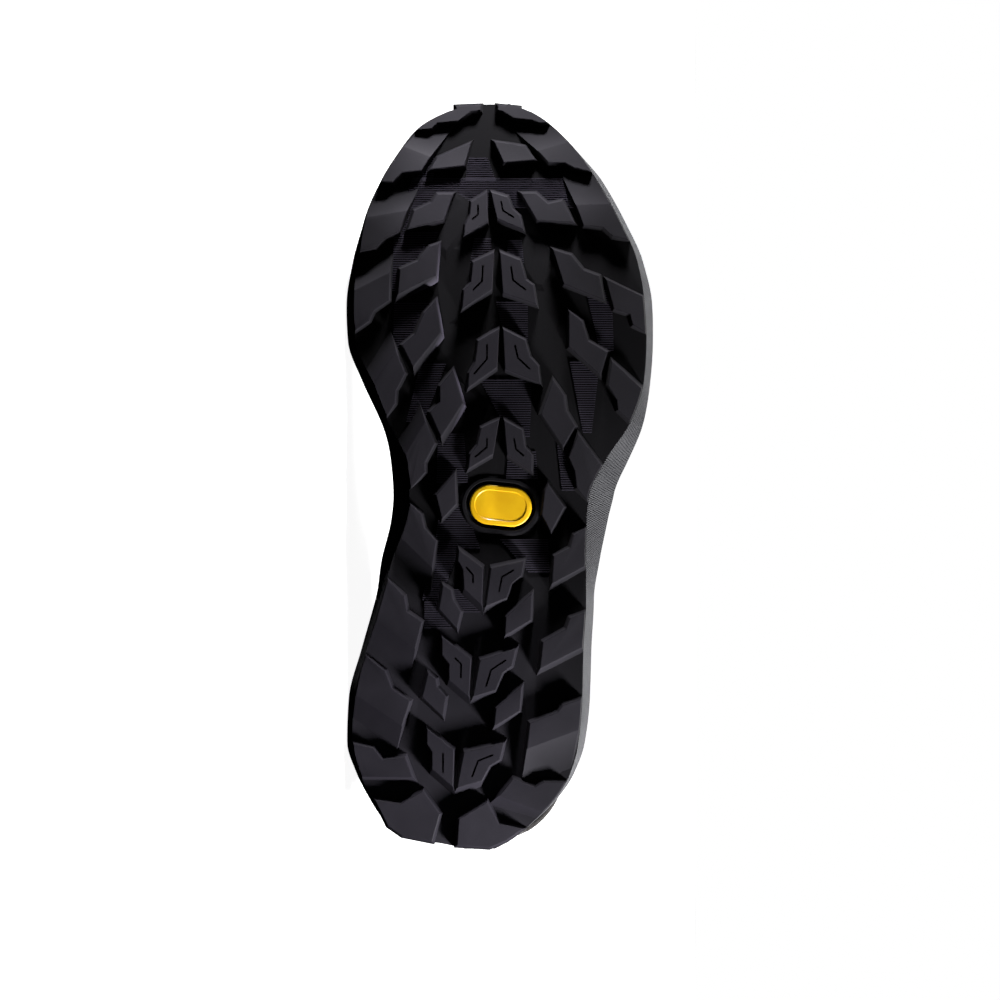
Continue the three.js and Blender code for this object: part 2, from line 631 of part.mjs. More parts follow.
// Tongue, under the throat's edges and standing above the collar in front
const tongueStart = throatStart - 0.7;
const tongueRise = tall(9);
const tongueUnderlap = 8;
const tongueDepth = 1.3 * blockDepth;
const vampRow = 4;
const tongueRegion = ridgeBlock((u) => tongueUnderlap + throatHalf(Math.max(u, throatStart + 1)),
  tongueStart, lastRow, tongueDepth, blockDepth);
const tongueOuter = form(-upperWall - gap, vampRow, lastRow);
const tongueInner = form(-upperWall - gap - tongueWall, vampRow, lastRow);
const tongue = tongueOuter.subtract(tongueInner).intersect(tongueRegion).subtract(aboveCollar(tongueRise));
place('tongue', tongue, softLeather);

// Overlays: each is cut between two larger forms of the last
const overlayShell = form(stayTop).subtract(form(gap));
const stayDrop = 1.25 * blockDepth;
const stayRegion = ridgeBlock((u) => throatHalf(u) + staySpread, throatStart + 0.2, lastRow,
  stayDrop, blockDepth);
const stays = overlayShell.intersect(stayRegion).subtract(join([trims, throat, bores]));
const bySide = (side) => {
  const shape = [[-along(10), -collarHeight], [2 * soleLength, -collarHeight], [2 * soleLength, 3 * collarHeight],
    [-along(10), 3 * collarHeight]];
  return sideways(shape).translate([0, side * 1.5 * ballWidth + shaftMiddle, 0]);
};
for (const [name, side] of sides) {
  const half = stays.intersect(bySide(side));
  place(`eyestay_${name}`, half, softLeather);
}

const stayMargin = ridgeBlock((u) => throatHalf(u) + staySpread + 2 * gap, throatStart - 0.2, lastRow,
  stayDrop + 2 * gap, blockDepth);
const capLine = [[79, 0], [82, 24], [86, 40], [90, 60], [130, 60], [130, 0]];
const toeCap = overlayShell.intersect(sideways(capLine.map(([x, z]) => [along(x), tall(z)])))
  .subtract(soleCut);
place('toe_cap', toeCap, rubber);

const counterLine = [[-10, 10], [32, 10], [27, 30], [17, 50], [4, 58], [-10, 58]];
const counter = overlayShell.intersect(sideways(counterLine.map(([x, z]) => [along(x), tall(z)])))
  .subtract(soleCut);
place('heel_counter', counter, softLeather);

const cuff = overlayShell.subtract(join([stayMargin, trims])).intersect(aboveCollar(-cuffHeight));
place('collar_cuff', cuff, softLeather);

// Eyelets and hooks
const flange = stayTop + 2.5 * gap;
const shank = -flange - upperWall / 2;
const eyeletProfile = [[eyeletBore, shank], [barrel, shank], [barrel, 0], [eyeletRadius, 0],
  [eyeletRadius * 0.85, eyeletFlange], [eyeletBore, eyeletFlange], [eyeletBore, shank]];
for (const { name, u, v } of eyeletSpots) {
  place(name, turnedPiece(eyeletProfile, u, v, flange), steel);
}
const hookProfile = [[0, 0], [eyeletRadius, 0], [eyeletRadius, eyeletFlange], [1.6, eyeletFlange + 0.3],
  [1.6, hookHeight - 1.6], [eyeletRadius * 0.9, hookHeight - 1.2], [eyeletRadius * 0.9, hookHeight], [0, hookHeight]];
for (const { name, u, v } of hookSpots) {
  place(name, turnedPiece(hookProfile, u, v, flange), steel);
}

// Lace: bars crossing from side to side above the tongue, joined where they meet
const laceRest = flange + eyeletFlange + 4.5 * gap + laceRadius;
const laceLow = gap + laceRadius - upperWall + 1.2;
const laceSides = 5;
function laceBar(start, end) {
  const count = 6;
  const points = Array.from({ length: count + 1 }, (_, i) => {
    const t = i / count;
    const lift = Math.abs(2 * t - 1);
    const height = THREE.MathUtils.lerp(laceLow, laceRest, THREE.MathUtils.smoothstep(lift, 0.05, 0.5));
    return facetAt(THREE.MathUtils.lerp(start.u, end.u, t), THREE.MathUtils.lerp(start.v, end.v, t), height);
  });
  const path = new THREE.CatmullRomCurve3(points);
  const corners = Array.from({ length: laceSides }, (_, i) =>
    new THREE.Vector2(laceRadius, 0).rotateAround(new THREE.Vector2(), 2 * Math.PI * i / laceSides));
  const shape = new THREE.Shape(corners);
  return fromGeometry(new THREE.ExtrudeGeometry(shape, { steps: 5, bevelEnabled: false, extrudePath: path }));
}
const besideHook = eyeletRadius + laceRadius + 2 * gap;
const hookTurns = hookSpots.map((s) => ({ ...s, v: besideThroat(s.u, s.side, besideHook) }));
const lateralSpots = [...eyeletSpots, ...hookTurns].filter((s) => s.side > 0);
const medialSpots = [...eyeletSpots, ...hookTurns].filter((s) => s.side < 0);
const bars = [laceBar(lateralSpots[0], medialSpots[0])];
for (let i = 0; i + 1 < lateralSpots.length; i += 1) {
  bars.push(laceBar(lateralSpots[i], medialSpots[i + 1]), laceBar(lateralSpots[i + 1], medialSpots[i]));
}
place('lace', join(bars), textile);

// Pull loop: a webbing strip bowed out from the back of the cuff
const loopWidth = 13;
const loopThickness = 1.8;
function pullLoop() {
  const seat = stayTop + gap / 2;
  const spots = [18.4, 18.9, 19.5, 20, 20.4];
  const rise = [seat, seat + 1, seat + 2.6, seat + 2, seat];
  const ring = (thick) => spots.map((u, i) => {
    const s = section(u);
    const back = s.base.clone().sub(s.ridge).normalize();
    return s.base.clone().addScaledVector(back, rise[i] + thick);
  });
  const near = ring(0);
  const far = ring(loopThickness);
  const outline = [...near, ...far.reverse()];
  return loft([outline.map((p) => p.clone().setY(shaftMiddle - loopWidth / 2)),
    outline.map((p) => p.clone().setY(shaftMiddle + loopWidth / 2))]);
}
place('pull_loop', pullLoop(), textile);

// Laid down: turned until the sole's medial edge and the shaft's medial side share one plane
function restingTilt() {
  const spot = new THREE.Vector3();
  let low = point(0, 0, 0);
  const each = (visit) => boot.children.forEach((node) => {
    const positions = node.geometry.attributes.position;
    for (let i = 0; i < positions.count; i += 1) visit(spot.fromBufferAttribute(positions, i));
  });
  each((p) => {
    if (p.z < heelStack && p.y < low.y) low = p.clone();
  });
  let tilt = Math.PI / 2;
  each((p) => {
    if (p.z > collarHeight / 2) tilt = Math.min(tilt, Math.atan2(p.y - low.y, p.z - low.z));
  });
  return tilt;
}

const lying = new THREE.Group();
boot.rotation.set(-restingTilt() - Math.PI / 2, 0, Math.PI);
lying.add(boot);
lying.updateMatrixWorld(true);
const reach = new THREE.Box3().setFromObject(lying, true);
boot.position.set(-(reach.min.x + reach.max.x) / 2, -(reach.min.y + reach.max.y) / 2, -reach.min.z);

export default lying;
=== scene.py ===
import math
from functools import lru_cache, partial

import bmesh
import bpy
from mathutils import Matrix, Vector


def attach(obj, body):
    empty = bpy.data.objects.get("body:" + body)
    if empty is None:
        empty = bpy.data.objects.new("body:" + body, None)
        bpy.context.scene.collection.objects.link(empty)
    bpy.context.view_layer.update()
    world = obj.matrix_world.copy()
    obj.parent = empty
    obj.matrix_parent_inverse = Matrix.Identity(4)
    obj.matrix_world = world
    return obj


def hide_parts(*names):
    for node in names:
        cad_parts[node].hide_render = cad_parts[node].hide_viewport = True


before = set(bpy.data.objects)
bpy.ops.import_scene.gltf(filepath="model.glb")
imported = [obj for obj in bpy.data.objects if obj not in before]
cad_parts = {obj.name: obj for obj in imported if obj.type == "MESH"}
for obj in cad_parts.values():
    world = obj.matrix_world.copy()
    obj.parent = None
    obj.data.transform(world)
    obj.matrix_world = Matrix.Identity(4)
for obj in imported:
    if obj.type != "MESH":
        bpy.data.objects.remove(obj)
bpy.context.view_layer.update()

# Midsole: the rubber wedge and wall between the tread and the foot, moulded in one and cemented to
# both. Its side stands out past the tread, most at the waist, under a groove and a lip, and it is
# knurled all over. Every shape below is in millimetres in the boot's own frame, x from heel to toe,
# y from the medial to the lateral side and z up from the ground, and LAID lays the boot on its side.
SOLE_LENGTH = 300.0
BALL_WIDTH = 124.0
LUG_DEPTH = 5.0
PLATE = 3.5
JOINT = 0.3
REST_TILT = math.radians(2.9235)
LAID = (
    Matrix.Scale(0.001, 4)
    @ Matrix.Translation((150.0, -100.74, 60.81))
    @ Matrix(
        (
            (-1, 0, 0, 0),
            (0, math.sin(REST_TILT), math.cos(REST_TILT), 0),
            (0, math.cos(REST_TILT), -math.sin(REST_TILT), 0),
            (0, 0, 0, 1),
        )
    )
)

# place along the sole, medial half width, lateral half width, medial flare, lateral flare, in percent
OUTLINE = [
    (0, 9.7, 0, 0, 0),
    (0.7, 16.9, 3.2, 0.4, 0.4),
    (1.3, 26.6, 5.6, 0.8, 0.8),
    (2.7, 33.1, 9.7, 1, 1),
    (6.7, 39.9, 19.4, 1.2, 1.2),
    (10, 43.5, 24.2, 1.6, 1.6),
    (14, 46.2, 26.9, 1.9, 2.3),
    (20, 45.6, 28.2, 2, 2.7),
    (26.7, 41.5, 28.6, 1.9, 2.8),
    (33.3, 36.8, 29.5, 2.1, 2.7),
    (38.7, 33.2, 29.5, 3.7, 4.6),
    (44, 29, 29.7, 4.8, 7),
    (47.3, 27.7, 30.5, 5.4, 8.1),
    (52, 28.9, 35.8, 5, 7.5),
    (57.3, 34.8, 44.1, 2.4, 4.3),
    (62.7, 40, 48.2, 3.2, 2.3),
    (68, 45.2, 49, 2.6, 2.3),
    (73.3, 46.1, 48.3, 2.1, 2.7),
    (78.7, 44.4, 46, 1.8, 2.1),
    (84, 42.4, 40.5, 0.4, 1.9),
    (89.3, 37.3, 33.5, 0.2, 1.9),
    (93.3, 31.5, 27, 0.2, 0.6),
    (96.7, 25, 19.4, 0.2, 0.2),
    (98.7, 16.9, 12.9, 0, 0),
    (100, 6.5, 4.8, 0, 0),
]


def read(rows, column, place):
    """Smooth value of one column of a table at a place, through every row and never past them."""
    last = len(rows) - 1
    i = next((k for k, row in enumerate(rows) if row[0] >= place), last)
    i = min(max(i, 1), last)

    def step(j):
        return rows[j][0] - rows[j - 1][0]

    def slope(j):
        return (rows[j][column] - rows[j - 1][column]) / step(j)

    def tangent(j):
        if j in (0, last):
            return slope(max(j, 1))
        if slope(j) * slope(j + 1) <= 0:
            return 0.0
        return 2 / (1 / slope(j) + 1 / slope(j + 1))

    t = min(max((place - rows[i - 1][0]) / step(i), 0.0), 1.0)
    rise = rows[i][column] - rows[i - 1][column]
    enter = tangent(i - 1) * step(i)
    leave = tangent(i) * step(i)
    curve = t * t * (3 * rise - 2 * enter - leave) + t**3 * (enter + leave - 2 * rise)
    return rows[i - 1][column] + t * enter + curve


def along(share):
    """Percent of the sole's length, in millimetres."""
    return share * SOLE_LENGTH / 100


def wide(share):
    return share * BALL_WIDTH / 100


def smooth(x, low, high):
    t = min(max((x - low) / (high - low), 0.0), 1.0)
    return t * t * (3 - 2 * t)


def mix(a, b, t):
    return a + (b - a) * t


def evenly(low, high, steps):
    """Places from low to high, evenly spaced."""
    return [mix(low, high, k / steps) for k in range(steps + 1)]


@lru_cache(maxsize=None)
def edge(x, side):
    """Half width of the tread at x, on the medial side, -1, or the lateral side, 1."""
    return wide(read(OUTLINE, 1 if side < 0 else 2, x / along(1)))


@lru_cache(maxsize=None)
def flare(x, side):
    """How far the midsole's wall stands out past the tread at x."""
    return wide(read(OUTLINE, 3 if side < 0 else 4, x / along(1)))


TOE_SPRING = 19
ARCH_RISE = 4
HEEL_BEVEL = 2.5
HEEL_STACK = 34
HEEL_TO_BALL_DROP = 10
BALL_TO_TOE_DROP = 3


def spring(x):
    """How far the toe curls up at x."""
    return TOE_SPRING * max(0.0, (x - along(71)) / along(29)) ** 2


@lru_cache(maxsize=None)
def ground(x):
    """Height of the lugs' worn faces: toe spring, arch, and the bevel at the back of the heel."""
    arch_swing = min(abs(x - along(45)) / along(15), 1.0)
    arch = ARCH_RISE / 2 * (1 + math.cos(math.pi * arch_swing))
    heel_bevel = HEEL_BEVEL * max(0.0, 1 - x / along(5)) ** 2
    return spring(x) + arch + heel_bevel


@lru_cache(maxsize=None)
def footbed(x):
    """Height of the midsole's top, under the foot."""
    x = min(max(x, 0.0), SOLE_LENGTH)
    to_ball = HEEL_TO_BALL_DROP * smooth(x, along(20), along(68))
    to_toe = BALL_TO_TOE_DROP * smooth(x, along(72), SOLE_LENGTH)
    return HEEL_STACK - to_ball - to_toe + spring(x)


def sheet_mesh(bm, across, up, place):
    """A grid of faces, each vertex put where place(s, t) says. Its map keeps s and t, from 0 to 1."""
    if not bm.loops.layers.uv:
        bm.loops.layers.uv.new("UVMap")
    made = bmesh.ops.create_grid(bm, x_segments=across, y_segments=up, size=0.5, calc_uvs=True)
    for vert in made["verts"]:
        vert.co = place(vert.co.x + 0.5, vert.co.y + 0.5)
    return made["verts"]


def close_up(bm, reach=0.01):
    """Welds seams, caps open ends and turns every face outwards."""
    bmesh.ops.remove_doubles(bm, verts=bm.verts, dist=reach)
    rim = [e for e in bm.edges if e.is_boundary]
    if rim:
        bmesh.ops.holes_fill(bm, edges=rim, sides=0)
    bmesh.ops.recalc_face_normals(bm, faces=bm.faces)


def finish_piece(bm, name, finishes, nodes=(), smooth_angle=35):
    """Lays the piece on its side, gives it its finish and fixes it to the boot."""
    bmesh.ops.transform(bm, matrix=LAID, verts=bm.verts)
    mesh = bpy.data.meshes.new(name)
    bm.to_mesh(mesh)
    bm.free()
    piece = bpy.data.objects.new(name, mesh)
    bpy.context.scene.collection.objects.link(piece)
    for finish in finishes:
        mesh.materials.append(finish)
    mesh.shade_smooth()
    mesh.set_sharp_from_angle(angle=math.radians(smooth_angle))
    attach(piece, "root")
    if nodes:
        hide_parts(*nodes)
    return piece


def new_finish(name, colour, roughness, **sockets):
    """A material whose even values sit on the shader itself."""
    made = bpy.data.materials.new(name)
    made.use_nodes = True
    shader = made.node_tree.nodes["Principled BSDF"]
    shader.inputs["Base Color"].default_value = (*colour, 1)
    shader.inputs["Roughness"].default_value = roughness
    for key, value in sockets.items():
        shader.inputs[key.replace("_", " ")].default_value = value
    return made


def wire(made, kind, inputs=None, **settings):
    """Adds a node to a material, with its settings, and its inputs from values or other sockets."""
    node = made.node_tree.nodes.new(kind)
    for key, value in settings.items():
        setattr(node, key, value)
    for key, value in (inputs or {}).items():
        if isinstance(value, bpy.types.NodeSocket):
            made.node_tree.links.new(value, node.inputs[key])
        else:
            node.inputs[key].default_value = value
    return node


def into_shader(made, socket, output):
    shader = made.node_tree.nodes["Principled BSDF"]
    made.node_tree.links.new(output, shader.inputs[socket])


def raise_by(made, texture, strength, distance, under=None):
    """Relief from a texture, on top of any relief below it."""
    inputs = {"Height": texture.outputs[0], "Strength": strength, "Distance": distance}
    if under:
        inputs["Normal"] = under
    return wire(made, "ShaderNodeBump", inputs).outputs["Normal"]


def grain(made, place, scale, strength, distance, under=None, kind="ShaderNodeTexNoise"):
    """Fine relief on a finish, on top of any relief below it."""
    texture = wire(made, kind, {"Vector": place, "Scale": scale})
    return raise_by(made, texture, strength, distance, under)


def two_tone(made, place, scale, dark, light, low=0.35, high=0.7, detail=4.0):
    """Cloudy variation between two colours."""
    cloud = wire(made, "ShaderNodeTexNoise", {"Vector": place, "Scale": scale, "Detail": detail})
    ramp = wire(made, "ShaderNodeValToRGB", {"Fac": cloud.outputs[0]})
    ramp.color_ramp.elements[0].position = low
    ramp.color_ramp.elements[0].color = (*dark, 1)
    ramp.color_ramp.elements[1].position = high
    ramp.color_ramp.elements[1].color = (*light, 1)
    return ramp.outputs["Color"]


def mottled_finish(name, colour, roughness, scale, dark, light, **sockets):
    """A material whose colour is cloudy between two, and the place that its grain reads."""
    made = new_finish(name, colour, roughness, **sockets)
    place = wire(made, "ShaderNodeTexCoord").outputs["Object"]
    into_shader(made, "Base Color", two_tone(made, place, scale, dark, light))
    return made, place


def round_off(bm, edges, width, segments=2):
    """Rounds edges off with a bevel of a width, and hands back its new parts."""
    return bmesh.ops.bevel(
        bm,
        geom=edges,
        offset=width,
        offset_type="OFFSET",
        segments=segments,
        profile=0.5,
        affect="EDGES",
        clamp_overlap=True,
        material=-1,
    )


def midsole_point(s, t):
    x = SOLE_LENGTH * (1 - math.cos(math.pi * t)) / 2
    low = ground(x) + LUG_DEPTH + PLATE + JOINT
    high = footbed(x)
    side = -1 if s < 0.5 else 1
    share, inset = WALL_PROFILE[round(abs(s - 0.5) * (2 * len(WALL_PROFILE) - 1) - 0.5)]
    out = edge(x, side) + flare(x, side) * min(1.0, share / 0.4) - inset
    return Vector((x, side * max(out, 0.0), mix(low, high, share)))


# share of the wall's height and how far the wall lies in there
WALL_PROFILE = [
    (1, 3.0),
    (1, 1.4),
    (0.975, 1.2),
    (0.86, 0.5),
    (0.745, 0.15),
    (0.73, 0.3),
    (0.71, 1.4),
    (0.64, 1.4),
    (0.62, 0.3),
    (0.6, 0.1),
    (0.5, 0),
    (0.4, 0),
    (0.3, 0),
    (0.2, 0),
    (0.1, 0),
    (0, 0.1),
    (0, 1.5),
    (0, BALL_WIDTH),
]
midsole = bmesh.new()
sheet_mesh(midsole, 2 * len(WALL_PROFILE) - 1, 150, midsole_point)
close_up(midsole)

midsole_finish, spot = mottled_finish(
    "midsole rubber",
    (0.042, 0.042, 0.046),
    0.62,
    60,
    (0.032, 0.032, 0.036),
    (0.052, 0.052, 0.057),
    Specular_IOR_Level=0.35,
)
relief = None
for turn in (math.radians(38), math.radians(-38)):
    turned = wire(midsole_finish, "ShaderNodeMapping", {"Vector": spot, "Rotation": (0, 0, turn)})
    hatch = wire(
        midsole_finish,
        "ShaderNodeTexWave",
        {"Vector": turned.outputs[0], "Scale": 430, "Distortion": 0.4},
    )
    relief = raise_by(midsole_finish, hatch, 0.55, 0.0004, relief)
relief = grain(midsole_finish, spot, 900, 0.25, 0.0002, relief)
into_shader(midsole_finish, "Normal", relief)
finish_piece(midsole, "midsole_wall", [midsole_finish], ["midsole"])

# Outsole: black carbon rubber, pressed in a mould as one plate with its lugs. Fine ribs cross the
# plate between the lugs, low smooth webs tie the lugs together, and the chevron lugs are siped.
# Corners below are read off the photograph in its own pixels of 0.4 mm, as pairs of right and down.
PIXEL = 0.4


def tread_point(right, down):
    """A corner's place in the plane of the tread."""
    return Vector(((850 - down) * PIXEL, (right - 495) * PIXEL))


RIM_STEPS = 500
RIM_X = [SOLE_LENGTH * (1 - math.cos(math.pi * k / RIM_STEPS)) / 2 for k in range(RIM_STEPS + 1)]


@lru_cache(maxsize=None)
def rim_line(side, inset):
    """The tread's edge on one side, or a line inside it."""
    return [Vector((x, side * max(edge(x, side) - inset, 0.2))) for x in RIM_X]


def nearest_on_rim(point, side):
    line = rim_line(side, 0.0)
    return min(range(len(line)), key=lambda k: (line[k] - point).length_squared)


def rim_between(start, end, side, inset, count):
    line = rim_line(side, inset)
    return [line[round(mix(start, end, k / (count - 1)))] for k in range(count)]


def leaning(before, point, after, draft_before, draft_after, turn):
    """Where a lug's corner lands at its foot, once both sides have moved out by their drafts."""
    side_a = (point - before).normalized()
    side_b = (after - point).normalized()
    out_a = Vector((side_a.y, -side_a.x)) * turn
    out_b = Vector((side_b.y, -side_b.x)) * turn
    sine = (side_a.x * side_b.y - side_a.y * side_b.x) * turn
    cosine = side_a.dot(side_b)
    if abs(sine) < 0.25:
        return point + (out_a + out_b).normalized() * (draft_before + draft_after) / 2
    shift = out_a * draft_before + side_a * (draft_after - draft_before * cosine) / sine
    longest = 1.7 * max(draft_before, draft_after)
    return point + shift * min(1.0, longest / shift.length)


def turn_of(points):
    """1 for corners that run one way round and -1 for the other."""
    area = sum(a.x * b.y - b.x * a.y for a, b in zip(points, points[1:] + points[:1]))
    return 1 if area > 0 else -1


def drawn_solid(bm, face_points, foot_points):
    """A closed shape between a face and a foot of as many corners. Gives its corners back."""
    face = bm.faces.new([bm.verts.new(point) for point in face_points])
    ring = list(face.verts)
    grown = bmesh.ops.extrude_face_region(bm, geom=[face])["geom"]
    added = {item for item in grown if isinstance(item, bmesh.types.BMVert)}
    for vert, point in zip(ring, foot_points):
        below = next(e.other_vert(vert) for e in vert.link_edges if e.other_vert(vert) in added)
        below.co = point
    return ring, added


def mould(bm, face_points, foot_points, top=0.0, foot=LUG_DEPTH + 1.0, rounding=0.26):
    """A lug between its worn face and its foot in the plate, with its worn edges rounded."""
    faces = [Vector((p.x, p.y, top)) for p in face_points]
    ring, added = drawn_solid(bm, faces, [Vector((p.x, p.y, foot)) for p in foot_points])
    worn = [e for e in bm.edges if e.verts[0] in ring and e.verts[1] in ring]
    made = set(ring) | added
    if rounding:
        worn = [e for e in worn if e.calc_length() > 0.05]
        cut = round_off(bm, worn, rounding)
        made = {v for v in made if v.is_valid} | set(cut["verts"])
    for vert in made:
        vert.co.z += ground(min(max(vert.co.x, 0.0), SOLE_LENGTH))


def inner_lug(bm, corners, drafts, **shape):
    """A lug whose sides each lean by their own draft, given round its face."""
    points = [tread_point(*corner) for corner in corners]
    count = len(points)
    turn = turn_of(points)
    feet = [
        leaning(points[k - 1], points[k], points[(k + 1) % count], drafts[k - 1], drafts[k], turn)
        for k in range(count)
    ]
    mould(bm, points, feet, **shape)


UPRIGHT = 1.3


def rim_lug(bm, corners, ramp, steep=1.4, flank=UPRIGHT, rim_points=7):
    """A lug on the tread's edge: a stepped steep side going in, a flank, and a ramp going out."""
    points = [tread_point(*corner) for corner in corners]
    side = 1 if points[0].y > 0 else -1
    turn = turn_of(points)
    drafts = [steep] * (len(points) - 3) + [flank, ramp]
    first = nearest_on_rim(points[0], side)
    last = nearest_on_rim(points[-1], side)
    feet = [
        leaning(points[k - 1], points[k], points[k + 1], drafts[k - 1], drafts[k], turn)
        for k in range(1, len(points) - 1)
    ]
    start_out = (points[1] - points[0]).normalized()
    end_out = (points[-1] - points[-2]).normalized()
    first_foot = points[0] + Vector((start_out.y, -start_out.x)) * turn * steep
    last_foot = points[-1] + Vector((end_out.y, -end_out.x)) * turn * ramp
    face = points[1:-1] + rim_between(last, first, side, 0.6, rim_points)
    foot = feet + rim_between(
        nearest_on_rim(last_foot, side), nearest_on_rim(first_foot, side), side, 0.05, rim_points
    )
    mould(bm, face, foot)


# ramp in millimetres, then the corners: steep side from the rim inwards, flank, ramp side's rim end
RIM_LUGS = [
    (2, (414, 126), (431, 126), (437, 120), (458, 118), (472, 107), (474, 103)),
    (2, (550, 120), (540, 120), (532, 117), (514, 115), (501, 107), (499, 102)),
    (20, (379, 180), (392, 181), (402, 171), (421, 169), (430, 155), (398, 142)),
    (14, (594, 169), (574, 166), (565, 161), (549, 161), (538, 149), (575, 135)),
    (11, (359, 251), (375, 248), (385, 238), (399, 231), (407, 210), (368, 218)),
    (20, (629, 240), (613, 236), (603, 227), (584, 225), (576, 204), (612, 204)),
    (8, (354, 331), (369, 321), (373, 311), (389, 300), (390, 272), (357, 291)),
    (1.5, (646, 332), (633, 325), (630, 314), (614, 309), (606, 279), (643, 297)),
    (8, (388, 416), (395, 403), (396, 390), (405, 373), (396, 351), (374, 381)),
    (1.5, (632, 422), (618, 410), (617, 400), (608, 385), (612, 361), (641, 387)),
    (8, (414, 488), (425, 472), (425, 462), (435, 443), (425, 421), (402, 455)),
    (1.5, (590, 500), (577, 488), (575, 471), (569, 457), (578, 434), (598, 463)),
    (9, (410, 504), (421, 514), (424, 528), (436, 541), (432, 568), (404, 540)),
    (2.4, (586, 528), (574, 535), (570, 548), (554, 556), (552, 584), (587, 565)),
    (13, (390, 581), (404, 596), (407, 612), (422, 622), (415, 649), (385, 625)),
    (2.4, (585, 612), (570, 618), (566, 629), (543, 642), (540, 669), (583, 648)),
    (13, (368, 657), (385, 671), (392, 689), (410, 701), (402, 726), (360, 696)),
    (26, (583, 699), (563, 705), (558, 712), (530, 723), (527, 749), (580, 730)),
    (2, (351, 743), (373, 748), (383, 760), (405, 757), (413, 778), (363, 776)),
    (6, (568, 783), (544, 782), (535, 787), (513, 779), (499, 796), (543, 811)),
]

# draft of the side to the heel, then the tip, round by the middle's side to the tail, and back to
# the tip along the notched outer side
FOREFOOT_ARROWS = [
    (1.6, (453, 193), (443, 220), (408, 228), (414, 210), (431, 202), (437, 193)),
    (3.4, (439, 243), (436, 275), (398, 294), (400, 269), (418, 261), (421, 256), (430, 246)),
    (3.4, (436, 300), (441, 332), (413, 367), (402, 345), (415, 334), (419, 324), (424, 313)),
    (3.0, (453, 370), (463, 403), (441, 437), (430, 412), (440, 402), (440, 386)),
    (1.6, (455, 473), (456, 504), (442, 519), (436, 495)),
    (1.6, (521, 192), (537, 220), (574, 222), (562, 200), (548, 203), (536, 192)),
    (1.6, (553, 249), (564, 284), (604, 300), (599, 276), (583, 270), (571, 255)),
    (1.6, (569, 311), (569, 347), (600, 375), (607, 352), (588, 341), (582, 321)),
    (1.6, (553, 380), (541, 414), (563, 447), (575, 426), (566, 411), (564, 396)),
    (1.6, (548, 484), (545, 490), (542, 515), (551, 532), (564, 507)),
]
HEEL_ARROWS = [
    [(443, 585), (439, 609), (457, 629), (461, 612), (453, 600), (451, 590)],
    [(428, 673), (422, 697), (443, 717), (446, 697), (437, 687), (436, 679)],
    [(532, 593), (531, 620), (505, 636), (506, 617), (519, 605)],
    [(522, 686), (520, 711), (494, 727), (496, 708), (509, 697)],
]
# from the point down the groove, round the wing, back along the leading side
FOREFOOT_CHEVRON_DRAFTS = [0.25, 1.7, 1.1, 1.1, 1.1, 1.6]
FOREFOOT_CHEVRONS = [
    [(487, 191), (488, 221), (464, 235), (465, 224), (470, 213), (471, 201)],
    [(491, 191), (497, 218), (523, 229), (520, 215), (513, 209), (508, 196)],
    [(494, 252), (492, 289), (462, 309), (464, 290), (471, 282), (473, 262)],
    [(500, 252), (503, 293), (536, 304), (533, 285), (526, 280), (520, 260)],
    [(499, 329), (497, 367), (468, 388), (469, 373), (475, 362), (478, 341)],
    [(503, 329), (505, 369), (540, 383), (538, 366), (530, 357), (525, 340)],
    [(499, 420), (493, 454), (468, 469), (470, 454), (477, 445), (481, 428)],
    [(504, 420), (507, 455), (532, 472), (532, 455), (525, 447), (522, 430)],
]
HEEL_CHEVRON_DRAFTS = [0.9, 1.7, 1.1, 1.1, 1.1, 3.0]
HEEL_CHEVRONS = [
    [(482, 606), (483, 568), (459, 550), (458, 561), (463, 570), (464, 589)],
    [(486, 606), (491, 568), (524, 561), (521, 576), (512, 583), (507, 598)],
    [(469, 697), (471, 659), (442, 637), (442, 655), (449, 664), (449, 680)],
    [(473, 697), (480, 660), (516, 649), (512, 666), (503, 673), (496, 690)],
    [(453, 787), (454, 750), (427, 729), (427, 744), (432, 752), (432, 769)],
    [(457, 788), (464, 752), (504, 743), (500, 760), (490, 766), (482, 781)],
]
BLOCKS = [
    [(430, 168), (464, 164), (471, 140), (437, 156)],
    [(535, 158), (504, 161), (494, 139), (525, 144)],
    [(456, 103), (480, 102), (480, 107), (456, 110)],
    [(498, 102), (519, 104), (519, 109), (498, 107)],
    [(375, 800), (400, 804), (423, 791), (440, 814), (432, 842), (402, 836), (388, 826)],
    [(457, 846), (459, 819), (487, 802), (499, 824), (523, 829), (506, 841), (489, 848)],
]
# height above the plate in millimetres, then the outline of a smooth web between lugs
WEBS = [
    (1.1, (456, 197), (464, 202), (466, 212), (461, 230), (446, 250), (440, 242), (444, 221)),
    (0.6, (441, 246), (472, 251), (472, 270), (462, 292), (456, 318), (444, 326), (438, 290)),
    (0.6, (446, 322), (476, 344), (472, 366), (466, 386), (458, 372), (444, 360), (430, 358)),
    (0.6, (462, 384), (488, 408), (480, 430), (470, 452), (452, 446), (464, 408)),
    (0.6, (520, 236), (551, 249), (556, 264), (542, 284), (536, 283), (526, 268)),
]
WEB_SLOPE = 4.3
# a cut along two short runs, in each chevron half
SIPES = [
    [(478, 204), (478, 214), (472, 219)],
    [(501, 200), (503, 210), (514, 217)],
    [(483, 265), (482, 281), (473, 290)],
    [(511, 266), (513, 280), (526, 290)],
    [(487, 344), (487, 359), (474, 374)],
    [(515, 345), (518, 358), (530, 369)],
    [(487, 438), (487, 447), (475, 457)],
    [(514, 438), (516, 449), (524, 456)],
    [(466, 567), (473, 575), (473, 583)],
    [(514, 570), (502, 577), (499, 592)],
    [(455, 658), (461, 664), (461, 678)],
    [(506, 660), (491, 670), (486, 687)],
    [(443, 753), (443, 762), (443, 773)],
    [(493, 755), (478, 761), (472, 777)],
]

